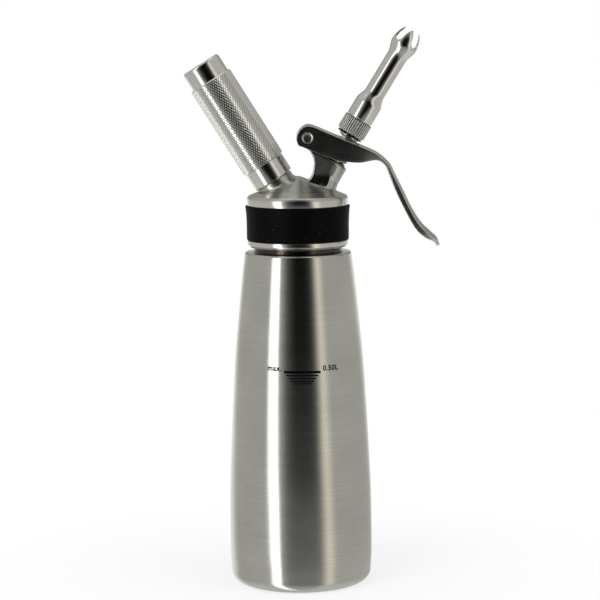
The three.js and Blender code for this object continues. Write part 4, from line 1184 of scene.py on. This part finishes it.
# What the metal reflects: a grey room with a dark camera side, a soft box on the left of the
# camera and a warm bounce on its right. Degrees run from the camera towards the right, and the
# room is white behind the object
ROOM = [(-180, 0.95), (-163, 0.95), (-150, 0.66), (-139, 0.5), (-64, 0.5), (-55, 0.58),
        (-37, 0.45), (-30, 0.4), (-22, 0.35), (0, 0.3), (22, 0.4), (28, (0.47, 0.44, 0.4)),
        (33, (0.67, 0.62, 0.55)), (38, (0.8, 0.74, 0.65)), (43, (0.93, 0.86, 0.75)),
        (47, (0.85, 0.79, 0.69)), (51, (0.66, 0.63, 0.57)), (57, 0.5), (139, 0.5), (150, 0.66),
        (163, 0.95), (180, 0.95)]
ROOM_TINT = (1, 0.99, 0.94)
SOFT_BOX = [(-59, 0), (-53, 1), (-39.5, 1), (-37, 0)]
UPPER_BOX = [(-52, 0), (-49, 1), (-42, 1), (-40, 0)]
BACK = [(-180, 1), (-155, 1), (-125, 0), (125, 0), (155, 1), (180, 1)]
# The dark side's strength by elevation: the floor before the camera shows in its lower part
DARK = [(-60, 0.5), (-30, 0.32), (-15, 0.19), (-12.6, 0.175), (-10.5, 0.155), (-7, 0.065),
        (-4, 0.02), (0, 0.006), (20, 0.003), (32, 0.006), (42, 0.05), (52, 0.14), (65, 0.2)]
DARK_TINT = (0.98, 1, 1)
DARK_SIDE = [(-36, 0), (-30, 0.2), (-26, 0.5), (-22, 0.74), (-12, 0.94), (-5, 1), (12, 1),
             (22, 0.95), (28, 0.8), (33, 0.5), (37, 0.2), (40, 0)]
ROOM_RADIUS = 2.4
ROOM_STRENGTH = 2.5


def room_material(name):
    made, tree, _ = new_material(name)
    direction = add(tree, "VectorMath", {0: object_place(tree)}, operation="NORMALIZE")
    x, y, z = add(tree, "SeparateXYZ", {"Vector": direction.outputs[0]}).outputs
    angle = maths(tree, "ARCTAN2", x, maths(tree, "MULTIPLY", y, -1))
    # Towards the floor, the room is squeezed on the left and spread on the right
    left = mapped(tree, z, -0.03, -0.26, 1, 1.14)
    right = mapped(tree, z, 0.05, -0.26, 1.07, 0.9)
    on_right = maths(tree, "GREATER_THAN", angle, 0)
    squeeze = add(tree, "Mix", {"Factor": on_right, "A": left, "B": right}).outputs[0]
    share = maths(tree, "MULTIPLY_ADD", angle, maths(tree, "MULTIPLY", squeeze, 1 / TURN), 0.5)
    height = maths(tree, "MULTIPLY_ADD", maths(tree, "ARCSINE", z), 1 / math.pi, 0.5)

    def round_room(rows):
        return ramp(tree, share, [(degrees / 360 + 0.5, value) for degrees, value in rows])

    def lit(rows, span, tint):
        """Stops in the room's strength, where the tint goes on the greys only."""
        return [
            (degrees / span + 0.5,
             tuple(np.array(colour) * (tint if np.isscalar(colour) else 1) / ROOM_STRENGTH))
            for degrees, colour in rows
        ]

    def coloured(factor, under, colour):
        return blend(tree, factor, under, (*colour, 1))

    boxes = maths(
        tree, "MAXIMUM",
        maths(tree, "MULTIPLY", round_room(SOFT_BOX), mapped(tree, z, 0.5, 0.25)),
        maths(tree, "MULTIPLY", round_room(UPPER_BOX), mapped(tree, z, 0.62, 0.54)),
    )
    back = maths(tree, "MULTIPLY", round_room(BACK), mapped(tree, z, 0.05, 0.22))
    room = ramp(tree, share, lit(ROOM, 360, ROOM_TINT))
    room = coloured(back, room, (0.13, 0.13, 0.123))
    room = coloured(mapped(tree, z, 0.5, 0.8), room, (0.21, 0.21, 0.2))
    room = coloured(mapped(tree, z, 0.9, 0.97), room, (0.36, 0.36, 0.345))
    room = coloured(mapped(tree, z, -0.35, -0.7), room, (0.26, 0.26, 0.25))
    room = coloured(boxes, room, (0.96, 0.96, 0.95))
    room = blend(tree, round_room(DARK_SIDE), room, ramp(tree, height, lit(DARK, 180, DARK_TINT)))
    show(tree, add(tree, "Emission", {"Color": room, "Strength": ROOM_STRENGTH}).outputs[0])
    return made


bm = bmesh.new()
bmesh.ops.create_uvsphere(bm, u_segments=72, v_segments=36, radius=ROOM_RADIUS)
room = stage_piece("studio_room", bm, room_material("studio_room"))
for rays in ("camera", "diffuse", "shadow", "transmission", "volume_scatter"):
    setattr(room, "visible_" + rays, False)


def lamp(name, size, energy, place, aim):
    light = bpy.data.lights.new(name, "AREA")
    light.shape = "DISK"
    light.size = size
    light.energy = energy
    made = bpy.data.objects.new(name, light)
    collection.objects.link(made)
    made.location = place
    made.rotation_euler = (Vector(aim) - Vector(place)).to_track_quat("-Z", "Y").to_euler()
    made.visible_glossy = False
    made.visible_camera = False


lamp("key", 1.2, 16, (-0.9, -1.1, 1.7), (0, 0, 0.12))
lamp("fill", 1.4, 8, (1.2, -0.8, 1.3), (0, 0, 0.12))

# Camera, where the photograph was taken from
ROLL = -0.0107
camera_data = bpy.data.cameras.new("camera")
camera_data.sensor_width = 36
camera_data.lens = 131.4
camera = bpy.data.objects.new("camera", camera_data)
collection.objects.link(camera)
eye = Vector((0, -1.2, 0.310))
target = Vector((0.00077, 0, 0.157))
look = (target - eye).to_track_quat("-Z", "Y").to_matrix().to_4x4()
camera.matrix_world = Matrix.Translation(eye) @ look @ Matrix.Rotation(ROLL, 4, "Z")
bpy.context.scene.camera = camera
bpy.context.scene.view_settings.view_transform = "Standard"
